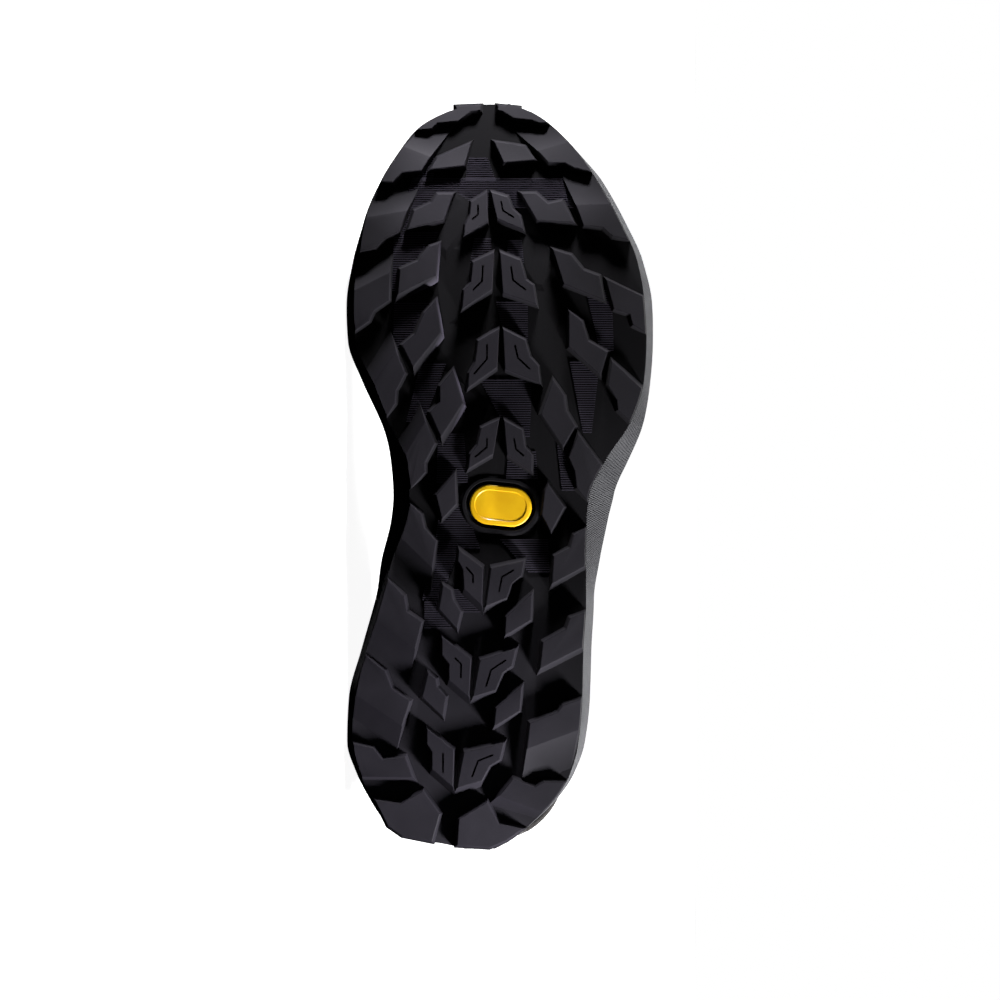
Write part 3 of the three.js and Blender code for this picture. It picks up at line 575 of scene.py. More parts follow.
BADGE_AT = Vector((along(45.9), wide(1.8)))
BADGE_LONG = along(8.4)
BADGE_HIGH = wide(13)
BADGE_TURN = math.radians(6)
FRAME_OUT = 3.0
FRAME_HEIGHT = 1.5


def stadium(grow, steps=14):
    """The rounded outline of the inlay, grown on all sides, in the plane of the tread."""
    half = (BADGE_LONG - BADGE_HIGH) / 2
    radius = BADGE_HIGH / 2 + grow
    points = []
    for end in (1, -1):
        for k in range(steps + 1):
            angle = math.pi * (k / steps - 0.5) + (math.pi if end < 0 else 0)
            points.append(
                Vector((end * half + radius * math.cos(angle), radius * math.sin(angle)))
            )
    turned = Matrix.Rotation(math.pi / 2 + BADGE_TURN, 2)
    return [BADGE_AT + turned @ p for p in points]


SIPE_WIDTH = 0.75
SIPE_DEPTH = 3.0
RIB_PITCH = 0.92
RIB_HEIGHT = 0.65
RIB_WIDTH = 0.42
# fields of ribs: down, left and right at their toe end, then the same at their heel end
RIB_FIELDS = [
    (156, 468, 488, 178, 465, 496),
    (156, 430, 438, 178, 414, 432),
    (177, 412, 574, 206, 402, 583),
    (204, 402, 422, 232, 398, 412),
    (232, 394, 440, 290, 389, 402),
    (238, 474, 491, 262, 470, 492),
    (240, 508, 522, 262, 506, 524),
    (302, 496, 528, 345, 506, 528),
    (303, 394, 438, 347, 392, 408),
    (290, 586, 612, 350, 600, 614),
    (364, 420, 446, 421, 406, 424),
    (380, 480, 532, 436, 510, 530),
    (362, 570, 600, 432, 583, 592),
    (434, 438, 464, 482, 436, 468),
    (452, 508, 536, 478, 506, 538),
    (432, 556, 566, 490, 562, 577),
    (505, 440, 464, 548, 434, 480),
    (548, 432, 460, 600, 422, 440),
    (600, 424, 442, 628, 424, 456),
    (590, 440, 484, 612, 458, 484),
    (540, 500, 548, 572, 528, 550),
]
# how grey the rubber is, from black at 0 to a worn face at 1 and more where a highlight is painted;
# these greys are partly wear and partly painted shade and light
TREAD_MIDDLE = 178
# painted shade: the grooves are painted near black, partly fresh rubber and partly the shade that falls
# in them; the heel's grooves are painted greyer, most on the inner side
GROOVE_WEAR_AND_SHADE = 0.05
HEEL_GROOVE_WEAR_AND_SHADE = 0.75
OUTER_HEEL_GROOVE_WEAR_AND_SHADE = 0.2
# painted light and shade over the faces' wear: the faces in the middle are painted darker and those at
# the toe and heel lighter, for how the lamps' light falls off along the tread
MIDDLE_FACE_WEAR_AND_SHADE = 0.75
END_FACE_WEAR_AND_LIGHT = 0.95
# painted shade: the faces along the toe's rim are painted darker, against the glare the toe lamp throws
# on them
TOE_RIM_PAINTED_SHADE = 0.45
# painted shade: the outer side, which faces the lamps, is painted darker
OUTER_PAINTED_SHADE = 0.58
# painted highlight: the ribs are painted greyer than any face, so they show in the shade between the lugs
RIB_PAINTED_HIGHLIGHT = 2.2
# painted highlights at the foot of three lugs, standing in for the light they would catch
PAINTED_GLINT_SPOTS = [(436, 281), (441, 339), (463, 409)]
PAINTED_GLINT_REACH = 4.0
PAINTED_GLINT_BRIGHTNESS = 6.0


def plate_point(s, t):
    """A place on the plate's outer face, between the lugs."""
    x = SOLE_LENGTH * (1 - math.cos(math.pi * t)) / 2
    return Vector((x, mix(-edge(x, -1), edge(x, 1), s), ground(x) + LUG_DEPTH))


def narrow_cut(points, half):
    """Outline of a narrow cut along a run of points."""
    one_side = []
    other_side = []
    for k, point in enumerate(points):
        run = (points[min(k + 1, len(points) - 1)] - points[max(k - 1, 0)]).normalized()
        sideways = Vector((-run.y, run.x)) * half
        one_side.append(point + sideways)
        other_side.append(point - sideways)
    return one_side + other_side[::-1]


def add_to(body, part):
    """Moves a part's faces into the body's."""
    mesh = bpy.data.meshes.new("part")
    part.to_mesh(mesh)
    part.free()
    body.from_mesh(mesh)
    bpy.data.meshes.remove(mesh)


def cut_away(body, cutters):
    """Takes the cutters' closed shapes out of the body's."""
    pieces = []
    for bm in (body, cutters):
        bmesh.ops.recalc_face_normals(bm, faces=bm.faces)
        mesh = bpy.data.meshes.new("cut")
        bm.to_mesh(mesh)
        pieces.append(bpy.data.objects.new("cut", mesh))
        bpy.context.scene.collection.objects.link(pieces[-1])
    cut = pieces[0].modifiers.new("cut", "BOOLEAN")
    cut.operation = "DIFFERENCE"
    cut.solver = "EXACT"
    cut.object = pieces[1]
    left_over = pieces[0].evaluated_get(bpy.context.evaluated_depsgraph_get())
    body.clear()
    body.from_mesh(left_over.to_mesh())
    for piece in pieces:
        bpy.data.objects.remove(piece)


outsole = bmesh.new()
sheet_mesh(outsole, 16, 200, plate_point)
grown = bmesh.ops.extrude_face_region(outsole, geom=outsole.faces[:])["geom"]
for item in grown:
    if isinstance(item, bmesh.types.BMVert):
        item.co.z += PLATE

for ramp, *corners in RIM_LUGS:
    rim_lug(outsole, corners, ramp)
first_arrow = len(outsole.verts)
for draft, *corners in FOREFOOT_ARROWS:
    inner_lug(outsole, corners, [UPRIGHT, draft] + [1.5] * (len(corners) - 2))
after_arrows = len(outsole.verts)
for corners in HEEL_ARROWS:
    inner_lug(outsole, corners, [UPRIGHT, 1.6, 1.2] + [1.4] * (len(corners) - 3))
for corners in BLOCKS:
    inner_lug(outsole, corners, [UPRIGHT] * len(corners))
for height, *corners in WEBS:
    slopes = [height * WEB_SLOPE] * len(corners)
    inner_lug(outsole, corners, slopes, top=LUG_DEPTH - height, foot=LUG_DEPTH, rounding=0)
first_rib = len(outsole.verts)
for top, top_left, top_right, bottom, low_left, low_right in RIB_FIELDS:
    rows = round((bottom - top) * PIXEL / RIB_PITCH)
    for k in range(rows + 1):
        down = mix(top, bottom, k / rows)
        left = tread_point(mix(top_left, low_left, k / rows), down)
        right = tread_point(mix(top_right, low_right, k / rows), down)
        size = Matrix.Diagonal((RIB_WIDTH, right.y - left.y, RIB_HEIGHT * 2, 1))
        middle = Vector((left.x, (left.y + right.y) / 2, ground(left.x) + LUG_DEPTH))
        bmesh.ops.create_cube(outsole, size=1.0, matrix=Matrix.Translation(middle) @ size)
after_ribs = len(outsole.verts)

frame_top = ground(BADGE_AT.x) + LUG_DEPTH - FRAME_HEIGHT
badge_frame = bmesh.new()
face_above = [Vector((p.x, p.y, frame_top)) for p in stadium(FRAME_OUT)]
foot_below = [Vector((p.x, p.y, ground(p.x) + LUG_DEPTH + 1)) for p in stadium(FRAME_OUT + 1.4)]
drawn_solid(badge_frame, face_above, foot_below)
bmesh.ops.recalc_face_normals(badge_frame, faces=badge_frame.faces)
lid = min(badge_frame.faces, key=lambda f: f.calc_center_median().z)
bmesh.ops.inset_region(badge_frame, faces=[lid], thickness=0.3, depth=0.25)
bmesh.ops.inset_region(badge_frame, faces=[lid], thickness=1.0, depth=0)
bmesh.ops.inset_region(badge_frame, faces=[lid], thickness=0.5, depth=-FRAME_HEIGHT)
add_to(outsole, badge_frame)

chevrons = bmesh.new()
for corners in FOREFOOT_CHEVRONS:
    inner_lug(chevrons, corners, FOREFOOT_CHEVRON_DRAFTS)
for corners in HEEL_CHEVRONS:
    inner_lug(chevrons, corners, HEEL_CHEVRON_DRAFTS)
sipes = bmesh.new()
for run in SIPES:
    outline = narrow_cut([tread_point(*corner) for corner in run], SIPE_WIDTH / 2)
    mould(sipes, outline, outline, top=-1.0, foot=SIPE_DEPTH, rounding=0)
cut_away(chevrons, sipes)
add_to(outsole, chevrons)
bmesh.ops.recalc_face_normals(outsole, faces=outsole.faces)

# worn faces are greyer than the grooves; over that wear, painted shade darkens the grooves (less in
# the heel), the middle's faces, the toe's rim and the outer side, and painted highlights lighten the
# faces at the toe and heel, the ribs and three lug corners
painted_glint_spots = [tread_point(*spot) for spot in PAINTED_GLINT_SPOTS]
worn = outsole.verts.layers.float.new("wear_and_painted_light")
for k, vert in enumerate(outsole.verts):
    x = min(max(vert.co.x, 0.0), SOLE_LENGTH)
    raised = 1 - smooth(vert.co.z - ground(x), 0.0, LUG_DEPTH)
    outer = smooth(vert.co.y, -5, 40)
    # painted light: towards the toe and the heel the faces are painted lighter than in the middle
    toward_ends = smooth(abs(x - TREAD_MIDDLE), 50, 100)
    # painted shade in the grooves, lighter in the heel
    heel_groove = mix(HEEL_GROOVE_WEAR_AND_SHADE, OUTER_HEEL_GROOVE_WEAR_AND_SHADE, outer)
    groove = mix(GROOVE_WEAR_AND_SHADE, heel_groove if x < TREAD_MIDDLE else 0.0, toward_ends)
    # painted shade on the faces along the toe's rim
    toe_rim = max(smooth(x, 262, 296), smooth(abs(vert.co.y), 26, 46) * smooth(x, 205, 240))
    face = mix(MIDDLE_FACE_WEAR_AND_SHADE, END_FACE_WEAR_AND_LIGHT, toward_ends) - TOE_RIM_PAINTED_SHADE * toe_rim
    # the outer side is painted darker as shade
    vert[worn] = mix(groove, face, raised) * mix(1.0, OUTER_PAINTED_SHADE, outer)
    # painted highlight on the ribs
    if first_rib <= k < after_ribs:
        vert[worn] = RIB_PAINTED_HIGHLIGHT
    # painted highlights at the foot of three lug corners
    reach = min((vert.co.xy - spot).length for spot in painted_glint_spots)
    if first_arrow <= k < after_arrows and reach < PAINTED_GLINT_REACH and raised < 0.3:
        vert[worn] = PAINTED_GLINT_BRIGHTNESS

rubber = new_finish("outsole rubber", (0.02, 0.018, 0.023), 0.58, Specular_IOR_Level=0.16)
spot = wire(rubber, "ShaderNodeTexCoord").outputs["Object"]
# the greys, wear with painted shade and highlights, set the rubber's colour and roughness
wear_and_painted_light = wire(rubber, "ShaderNodeAttribute", attribute_name="wear_and_painted_light").outputs["Fac"]
dull = wire(rubber, "ShaderNodeMapRange", {"Value": wear_and_painted_light, "To Min": 1.0, "To Max": 0.58})
into_shader(rubber, "Roughness", dull.outputs[0])
black = (0.002, 0.0018, 0.0026, 1)
cloudy = two_tone(rubber, spot, 35, (0.0125, 0.0111, 0.0163), (0.0195, 0.0174, 0.0243))
shades = {0: wear_and_painted_light, 6: black, 7: cloudy}
shade = wire(rubber, "ShaderNodeMix", shades, data_type="RGBA", clamp_factor=False)
into_shader(rubber, "Base Color", shade.outputs[2])
relief = grain(rubber, spot, 1400, 0.3, 0.0001)
relief = grain(rubber, spot, 90, 0.12, 0.0008, relief)
into_shader(rubber, "Normal", relief)
finish_piece(outsole, "lugged_outsole", [rubber], ["outsole"], 14)

# Badge inlay: a plain satin plastic piece set in a moulded frame at the arch, held by the rubber.
# Its cap is rounded off, with a shallow groove round a flat field.
INLAY_RISE = 1.6
INLAY_THICKNESS = 2.6
inlay = bmesh.new()
inlay_top = ground(BADGE_AT.x) + LUG_DEPTH - INLAY_RISE
inlay_foot = inlay_top + INLAY_THICKNESS
disc = inlay.faces.new([inlay.verts.new((p.x, p.y, inlay_foot)) for p in stadium(0)])
raised = bmesh.ops.extrude_face_region(inlay, geom=[disc])["geom"]
for item in raised:
    if isinstance(item, bmesh.types.BMVert):
        item.co.z = inlay_top
cap = next(item for item in raised if isinstance(item, bmesh.types.BMFace))
round_off(inlay, cap.edges[:], 0.7, 4)
bmesh.ops.recalc_face_normals(inlay, faces=inlay.faces)
top = min(inlay.faces, key=lambda f: f.calc_center_median().z)
bmesh.ops.inset_region(inlay, faces=[top], thickness=1.3, depth=0)
bmesh.ops.inset_region(inlay, faces=[top], thickness=0.3, depth=-0.25)
amber, spot = mottled_finish(
    "amber plastic",
    (0.93, 0.53, 0.006),
    0.42,
    120,
    (0.9, 0.49, 0.003),
    (0.98, 0.58, 0.006),
    Coat_Weight=0.1,
)
into_shader(amber, "Normal", grain(amber, spot, 900, 0.15, 0.0001))
finish_piece(inlay, "arch_inlay", [amber], ["badge_inlay"])

# Upper: vamp and quarters of waxed full-grain leather, closed over the last and pulled in under the
# foot. It is one hollow shell, open at the collar, down the throat and underneath, with a mesh lining.
UPPER_WALL = 2.2
COLLAR_HEIGHT = 180.0
# sections of the last, in percent: number, base, base rise, 1 where it starts under the footbed,
# ridge, ridge rise, middle, lateral and medial half width, flat base, widest place, fullness
LAST = [
    (0, 98, 0, 1, 98.2, 26, -2, 6.5, 11.5, 80, 35, 2.2),
    (1, 97, 0, 1, 97.2, 32.5, -2, 13.5, 19.5, 86, 36, 2.2),
    (2, 95, 0, 1, 95, 38.5, -2, 22, 26.5, 90, 36, 2.25),
    (3, 91, 0, 1, 90.7, 44, -2, 30, 33.5, 93, 36, 2.3),
    (4, 85.3, 0, 1, 84.7, 47.2, -2, 37.8, 40, 94, 36, 2.3),
    (5, 78.7, 0, 1, 77.3, 49.5, -2, 43.8, 43.4, 94, 36, 2.2),
    (6, 71.3, 0, 1, 69.3, 53.8, -3, 47, 45, 94, 35, 2.05),
    (7, 63.3, 0, 1, 61.3, 60.5, -5, 45.8, 40.8, 93, 34, 1.95),
    (8, 55, 0, 1, 54.3, 68.5, -7, 40.5, 34, 92, 33, 1.9),
    (9, 46.7, 0, 1, 49.3, 77, -8.5, 34, 31.5, 92, 32, 1.95),
    (10, 37.7, 0, 1, 46.3, 84, -9.5, 30.5, 34, 92, 30, 2.05),
    (11, 28.3, 0, 1, 44.8, 88.5, -9.7, 28.5, 38.5, 92, 28, 2.15),
    (12, 18.3, 0, 1, 44, 92, -9.7, 27, 42, 90, 26, 2.25),
    (13, 9.3, 0, 1, 43.5, 94.5, -9.7, 24.8, 41.5, 80, 28, 2.35),
    (14, 3, 0, 1, 43.2, 96.5, -9.7, 24, 40.5, 55, 32, 2.4),
    (15, 1.3, 24.5, 0, 43, 98, -9.7, 23.6, 40, 34, 36, 2.4),
    (16, 1, 35.5, 0, 42.9, 99.4, -9.7, 22.6, 39, 20, 40, 2.35),
    (17, 2, 49.5, 0, 42.7, 101, -9.7, 21.8, 38.6, 16, 43, 2.3),
    (18, 3.3, 62.5, 0, 42.5, 103, -9.7, 21.4, 38.8, 15, 45, 2.3),
    (19, 3.7, 75, 0, 42.3, 105, -9.7, 21.5, 39.5, 15, 46, 2.3),
    (20, 2.7, 87, 0, 42, 107.5, -9.7, 22.2, 40.5, 15, 46, 2.3),
    (21, 1.7, 97, 0, 41.7, 110.5, -9.7, 22.6, 41.2, 15, 46, 2.3),
    (22, 1.2, 107, 0, 41.3, 117, -9.7, 22.8, 41.4, 15, 46, 2.3),
]
LAST_TOP = 22
TOE_TIP = -1.0
RIDGE = 0.5
BACK = -0.04
THROAT_START = 6.2
# place along the sole and height of the collar's line, in percent
COLLAR_LINE = [(-30, 88), (1, 89), (8, 91), (20, 96.5), (32, 102), (42, 105.5), (80, 110)]


def tall(share):
    return share * COLLAR_HEIGHT / 100


@lru_cache(maxsize=None)
def section(u):
    """One section of the last: its two ends, its half widths and its shape."""
    base, rise, under, ridge, ridge_rise, middle, lateral, medial, flat, belly, full = (
        read(LAST, k, u) for k in range(1, 12)
    )
    foot = Vector((along(base), 0, under * (footbed(along(base)) - 8) + tall(rise)))
    crown = Vector((along(ridge), 0, tall(ridge_rise)))
    return foot, crown, wide(middle), wide(lateral), wide(medial), flat / 100, belly / 100, full


def skin(u, v):
    """The last's surface: u is the section, v runs from the lateral base over the ridge to the medial."""
    foot, crown, middle, lateral, medial, flat, belly, full = section(round(u, 4))
    up = (1 - math.cos(2 * math.pi * min(v, 1 - v))) / 2
    if up < belly:
        share = flat + (1 - flat) * math.sqrt(max(0.0, 1 - ((belly - up) / belly) ** 2))
    else:
        share = max(0.0, 1 - ((up - belly) / (1 - belly)) ** full) ** (1 / full)
    at = foot.lerp(crown, up)
    at.y = middle + (lateral - middle if v <= 0.5 else -medial - middle) * share
    return at


def outward(u, v):
    """The way out of the last's surface."""
    u = min(max(u, 0.0), LAST_TOP)
    down_u = skin(min(u + 0.1, LAST_TOP), v) - skin(max(u - 0.1, 0.0), v)
    across_v = skin(u, min(v + 0.02, 1.0)) - skin(u, max(v - 0.02, 0.0))
    return down_u.cross(across_v).normalized()


def last_point(u, w, side, offset=0.0):
    """A place on one side: w is 0 at the base, RIDGE on top, and BACK on the heel's middle line."""
    if u < 0:
        hub = last_point(0, 0.32, 1, offset).lerp(last_point(0, 0.32, -1, offset), 0.5)
        bulge = Vector((1.5 * (1 - (u + 1) ** 2), 0, 0))
        return hub.lerp(last_point(0, w, side, offset), u + 1) + bulge
    if w < 0:
        foot, crown, middle = section(round(u, 4))[:3]
        back = foot + (foot - crown).normalized() * offset
        back.y = middle
        return last_point(u, 0, side, offset).lerp(back, min(w / BACK, 1.0))
    v = w if side > 0 else 1 - w
    return skin(u, v) + outward(u, v) * offset


def crossing(test, low, high):
    """Where a test that is false at low and true at high changes, between the two."""
    for _ in range(22):
        half = (low + high) / 2
        if test(half):
            high = half
        else:
            low = half
    return (low + high) / 2


@lru_cache(maxsize=None)
def foot_w(u, side):
    """Where a section meets the footbed, or the heel's middle line above it."""
    u = max(u, 0.0)

    def above(w):
        at = last_point(u, w, side)
        return at.z > footbed(at.x) + JOINT

    return BACK if above(0) else crossing(above, 0.0, 0.25)


def collar_z(x):
    """Height of the collar's line at x."""
    return tall(read(COLLAR_LINE, 1, x / along(1)))


@lru_cache(maxsize=None)
def collar_u(w, side, lift=0.0):
    def above(u):
        at = last_point(u, w, side)
        return at.z > collar_z(at.x) + lift

    return crossing(above, 12.0, LAST_TOP)


def throat_half(u):
    """Half width of the throat, rounded at its foot."""
    rounded = math.sqrt(min(max((u - THROAT_START + 0.08) / 0.9, 0.0), 1.0))
    return rounded * mix(15, 20, smooth(u, THROAT_START, LAST_TOP))


@lru_cache(maxsize=None)
def beside(u, side, half):
    """The place on a section that lies half millimetres to the side of its ridge."""
    u = min(max(u, 0.0), LAST_TOP)
    middle = section(round(u, 4))[2]
    return crossing(lambda w: abs(last_point(u, w, side).y - middle) < half, 0.2, RIDGE)


def throat_w(u, side, outside=0.0):
    return RIDGE if u < THROAT_START else beside(u, side, throat_half(u) + outside)


def half_panel(bm, side, low_u, high_u, low_w, high_w, offset, across, up):
    """One side's share of a panel, between two edges along the last and two round it.

    Each edge is a number or a function of the place on the other way and of the side.
    """

    def value(edge_line, at):
        return edge_line(round(at, 3), side) if callable(edge_line) else edge_line

    def place(s, t):
        guess = 0.44 * s
        u = mix(value(low_u, guess), value(high_u, guess), t)
        w = mix(value(low_w, u), value(high_w, u), s)
        lift = offset(s, t) if callable(offset) else offset
        return last_point(u, w, side, lift)

    return sheet_mesh(bm, across, up, place)


def face_outwards(bm):
    """Welds the two sides of a panel and turns its faces out, away from the last."""
    bmesh.ops.remove_doubles(bm, verts=bm.verts, dist=0.02)
    bmesh.ops.dissolve_degenerate(bm, dist=0.005, edges=bm.edges)
    bmesh.ops.recalc_face_normals(bm, faces=bm.faces)
    heart = Vector((0, 0, 0))
    for vert in bm.verts:
        heart += vert.co / len(bm.verts)
    heart.y = wide(-5)
    heart.z = min(heart.z, 60)
    votes = sum(1 if f.normal.dot(f.calc_center_median() - heart) > 0 else -1 for f in bm.faces)
    if votes < 0:
        bmesh.ops.reverse_faces(bm, faces=bm.faces)


def thicken(piece, wall, rounding=0.0, lining=False):
    """Gives a sheet its wall inwards, and rounds its cut edges."""
    solid = piece.modifiers.new("wall", "SOLIDIFY")
    solid.thickness = wall / 1000
    solid.offset = -1
    solid.thickness_clamp = 0
    if lining:
        solid.material_offset = 1
    if rounding:
        soft = piece.modifiers.new("edge", "BEVEL")
        soft.width = rounding / 1000
        soft.segments = 2
        soft.limit_method = "ANGLE"
        soft.angle_limit = math.radians(50)


upper = bmesh.new()
for side in (1, -1):
    half_panel(
        upper,
        side,
        low_u=TOE_TIP,
        high_u=collar_u,
        low_w=foot_w,
        high_w=throat_w,
        offset=0.0,
        across=44,
        up=140,
    )
face_outwards(upper)


def leather_finish(name, dark, light, roughness, pores=750):
    """Waxed leather: cloudy colour, a pebbled grain with fine pores, and soft creases."""
    made = new_finish(name, light, roughness, Specular_IOR_Level=0.4, Coat_Weight=0.08)
    spot = wire(made, "ShaderNodeTexCoord").outputs["Object"]
    into_shader(made, "Base Color", two_tone(made, spot, 28, dark, light, 0.3, 0.75, 8.0))
    relief = grain(made, spot, 22, 0.25, 0.002)
    relief = grain(made, spot, pores, 0.5, 0.00035, relief, "ShaderNodeTexVoronoi")
    relief = grain(made, spot, 2600, 0.3, 0.0001, relief)
    into_shader(made, "Normal", relief)
    return made


def woven_finish(name, dark, light, threads):
    """A plain weave of crossing sets of threads, at so many threads a metre."""
    made, spot = mottled_finish(
        name, light, 0.85, 160, dark, light, Sheen_Weight=0.25, Sheen_Roughness=0.5
    )
    relief = None
    for axis in ("X", "Y", "Z"):
        thread = wire(
            made,
            "ShaderNodeTexWave",
            {"Vector": spot, "Scale": threads / 3.2, "Distortion": 0.3},
            bands_direction=axis,
        )
        relief = raise_by(made, thread, 0.5, 0.0004, relief)
    into_shader(made, "Normal", relief)
    return made


leather = leather_finish("vamp leather", (0.05, 0.034, 0.024), (0.105, 0.074, 0.052), 0.5)
lining = woven_finish("lining mesh", (0.03, 0.031, 0.034), (0.06, 0.062, 0.068), 900)
shell = finish_piece(upper, "leather_shell", [leather, lining], ["upper"], 60)
thicken(shell, UPPER_WALL, lining=True)

# Insole: a textile-topped foam footbed that lies loose on the midsole, inside the upper. Its edge is
# die cut and softly rounded, and its cloth is a dense grey weave.
insole = bmesh.new()
insole.from_mesh(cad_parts["insole"].data)
bmesh.ops.transform(insole, matrix=LAID.inverted(), verts=insole.verts)
bmesh.ops.remove_doubles(insole, verts=insole.verts, dist=0.01)
bmesh.ops.dissolve_limit(
    insole, angle_limit=math.radians(1), verts=insole.verts, edges=insole.edges, delimit={"NORMAL"}
)
insole_rim = [e for e in insole.edges if e.is_manifold and e.calc_face_angle() > math.radians(50)]
round_off(insole, insole_rim, 0.8, 3)
insole_cloth = woven_finish("insole cloth", (0.035, 0.037, 0.042), (0.075, 0.078, 0.085), 1100)
finish_piece(insole, "insole_footbed", [insole_cloth], ["insole"], 40)

# Toe cap: a moulded rubber bumper with a pebbled face, wrapped over the toe and cemented on. Two
# rows of waxed thread hold its back edge.
# place along the sole against height of its back edge, in percent
CAP_EDGE = [(0, 79), (24, 82), (40, 86), (60, 90)]
OVERLAY_WALL = 1.6
OVERLAY_SEAT = JOINT + OVERLAY_WALL
OVERLAY_ROUNDING = 0.5
STITCH_LIFT = OVERLAY_SEAT + 0.12
STITCH_PITCH = 3.4
STITCH_HALF_SIZES = (1.25, 0.36, 0.3)


def behind_cap(u, w, side):
    """Whether a place lies heelwards of the cap's back edge."""
    at = last_point(max(u, 0.0), w, side)
    return at.x < along(read(CAP_EDGE, 1, at.z / tall(1)))


@lru_cache(maxsize=None)
def cap_u(w, side, back=0.0):
    w = max(w, foot_w(4.0, side))
    return crossing(lambda u: behind_cap(u, w, side), 0.0, 9.0) - back


def sew(bm, places, offset, pitch=STITCH_PITCH):
    """Runs a row of thread along places on the last: one long bead for every stitch that shows."""
    spots = [last_point(u, w, side, offset) for u, w, side in places]
    left = 0.0
    for k in range(len(spots) - 1):
        run = spots[k + 1] - spots[k]
        while left < run.length:
            u, w, side = places[k]
            v = w if side > 0 else 1 - w
            up = outward(u, min(max(v, 0.0), 1.0))
            forward = run.normalized()
            across = up.cross(forward).normalized()
            turned = Matrix((forward, across, forward.cross(across))).transposed()
            axes = turned.to_4x4() @ Matrix.Diagonal((*STITCH_HALF_SIZES, 1))
            where = Matrix.Translation(spots[k] + forward * left) @ axes
            bmesh.ops.create_icosphere(bm, subdivisions=1, radius=1.0, matrix=where)
            left += pitch
        left -= run.length


def round_the_front(edge_u, inset_w=0.012, steps=90):
    """Places along a panel's edge, from the foot on one side over the ridge to the other foot."""
    path = []
    for side in (1, -1):
        low = foot_w(round(edge_u(0.0, side), 3), side) + inset_w
        half = [(w, side) for w in evenly(low, RIDGE, steps)]
        path += half if side > 0 else half[::-1]
    return [(edge_u(round(w, 3), side), w, side) for w, side in path]


cap_panel = bmesh.new()
for side in (1, -1):
    half_panel(
        cap_panel,
        side,
        low_u=TOE_TIP,
        high_u=cap_u,
        low_w=foot_w,
        high_w=RIDGE,
        offset=OVERLAY_SEAT,
        across=40,
        up=46,
    )
face_outwards(cap_panel)
cap_rubber, spot = mottled_finish(
    "cap rubber", (0.03, 0.03, 0.033), 0.58, 50, (0.022, 0.022, 0.025), (0.04, 0.04, 0.044)
)
relief = grain(cap_rubber, spot, 420, 0.6, 0.0006, None, "ShaderNodeTexVoronoi")
into_shader(cap_rubber, "Normal", grain(cap_rubber, spot, 1500, 0.25, 0.0001, relief))
cap_piece = finish_piece(cap_panel, "toe_bumper", [cap_rubber], ["toe_cap"], 60)
thicken(cap_piece, OVERLAY_WALL, OVERLAY_ROUNDING)

thread_finish, spot = mottled_finish(
    "waxed thread", (0.11, 0.1, 0.09), 0.6, 300, (0.08, 0.072, 0.065), (0.15, 0.135, 0.12)
)
into_shader(thread_finish, "Normal", grain(thread_finish, spot, 3000, 0.5, 0.0001))
seams = bmesh.new()
for back in (0.14, 0.3):
    sew(seams, round_the_front(lambda w, side: cap_u(w, side, back)), STITCH_LIFT)
finish_piece(seams, "toe_seams", [thread_finish])

# Heel counter: a stiff leather-covered cup round the heel. It is moulded to the last, cemented on
# and double stitched to the upper along its front edge.
# height against place along the sole of its front edge, in percent
COUNTER_EDGE = [(10, 32), (30, 27), (50, 17), (58, 4)]


@lru_cache(maxsize=None)
def counter_w(u, side, inside=0.0):
    def past(w):
        at = last_point(u, w, side)
        return at.x > along(read(COUNTER_EDGE, 1, at.z / tall(1))) - inside

    low = max(foot_w(round(u, 3), side), 0.0)
    return low if past(low) else crossing(past, low, 0.45)


counter_panel = bmesh.new()
for side in (1, -1):
    half_panel(
        counter_panel,
        side,
        low_u=10.75,
        high_u=17.6,
        low_w=foot_w,
        high_w=counter_w,
        offset=OVERLAY_SEAT,
        across=26,
        up=56,
    )
face_outwards(counter_panel)
trim = leather_finish("trim leather", (0.022, 0.02, 0.02), (0.045, 0.041, 0.039), 0.55, 1000)
counter_piece = finish_piece(counter_panel, "counter_cup", [trim], ["heel_counter"], 60)
thicken(counter_piece, OVERLAY_WALL, OVERLAY_ROUNDING)
seams = bmesh.new()
for inside in (2.5, 5.0):
    for side in (1, -1):
        row = [(u, counter_w(round(u, 3), side, inside), side) for u in evenly(11.2, 17.35, 70)]
        sew(seams, row, STITCH_LIFT)
finish_piece(seams, "counter_seams", [thread_finish])

# Eyestays: leather facings down both sides of the throat, which carry the eyelets and the hooks.
# Each is cemented along the throat's cut edge and sewn on with three rows of thread.
STAY_SPREAD = 17.0
SIDES = ((1, "lateral"), (-1, "medial"))
stay_seams = bmesh.new()
for side, name in SIDES:
    stay = bmesh.new()
    half_panel(
        stay,
        side,
        low_u=THROAT_START + 0.25,
        high_u=collar_u(0.4, side),
        low_w=partial(throat_w, outside=STAY_SPREAD),
        high_w=throat_w,
        offset=OVERLAY_SEAT,
        across=12,
        up=90,
    )
    face_outwards(stay)
    facing = finish_piece(stay, f"facing_{name}", [trim], [f"eyestay_{name}"], 60)
    thicken(facing, OVERLAY_WALL, OVERLAY_ROUNDING)
    down_the_throat = evenly(THROAT_START + 0.5, collar_u(0.4, side) - 0.1, 110)
    for outside in (2.0, STAY_SPREAD - 1.8, STAY_SPREAD - 3.8):
        row = [(u, throat_w(round(u, 3), side, outside), side) for u in down_the_throat]
        sew(stay_seams, row, STITCH_LIFT)
finish_piece(stay_seams, "facing_seams", [thread_finish])

# Tongue: a leather-faced flap padded with foam, lying under the throat's edges. It is sewn in at its
# foot and quilted across.
TONGUE_WALL = 3.0
QUILTED_ROWS = 9


def tongue_puff(s, t):
    """How far the quilted face lies from the last: highest between two rows."""
    channel = abs(math.sin(math.pi * t * QUILTED_ROWS)) ** 0.5
    return -UPPER_WALL - JOINT - 1.0 + channel * 0.9 * min(1.0, (1 - abs(2 * s - 1)) * 6)


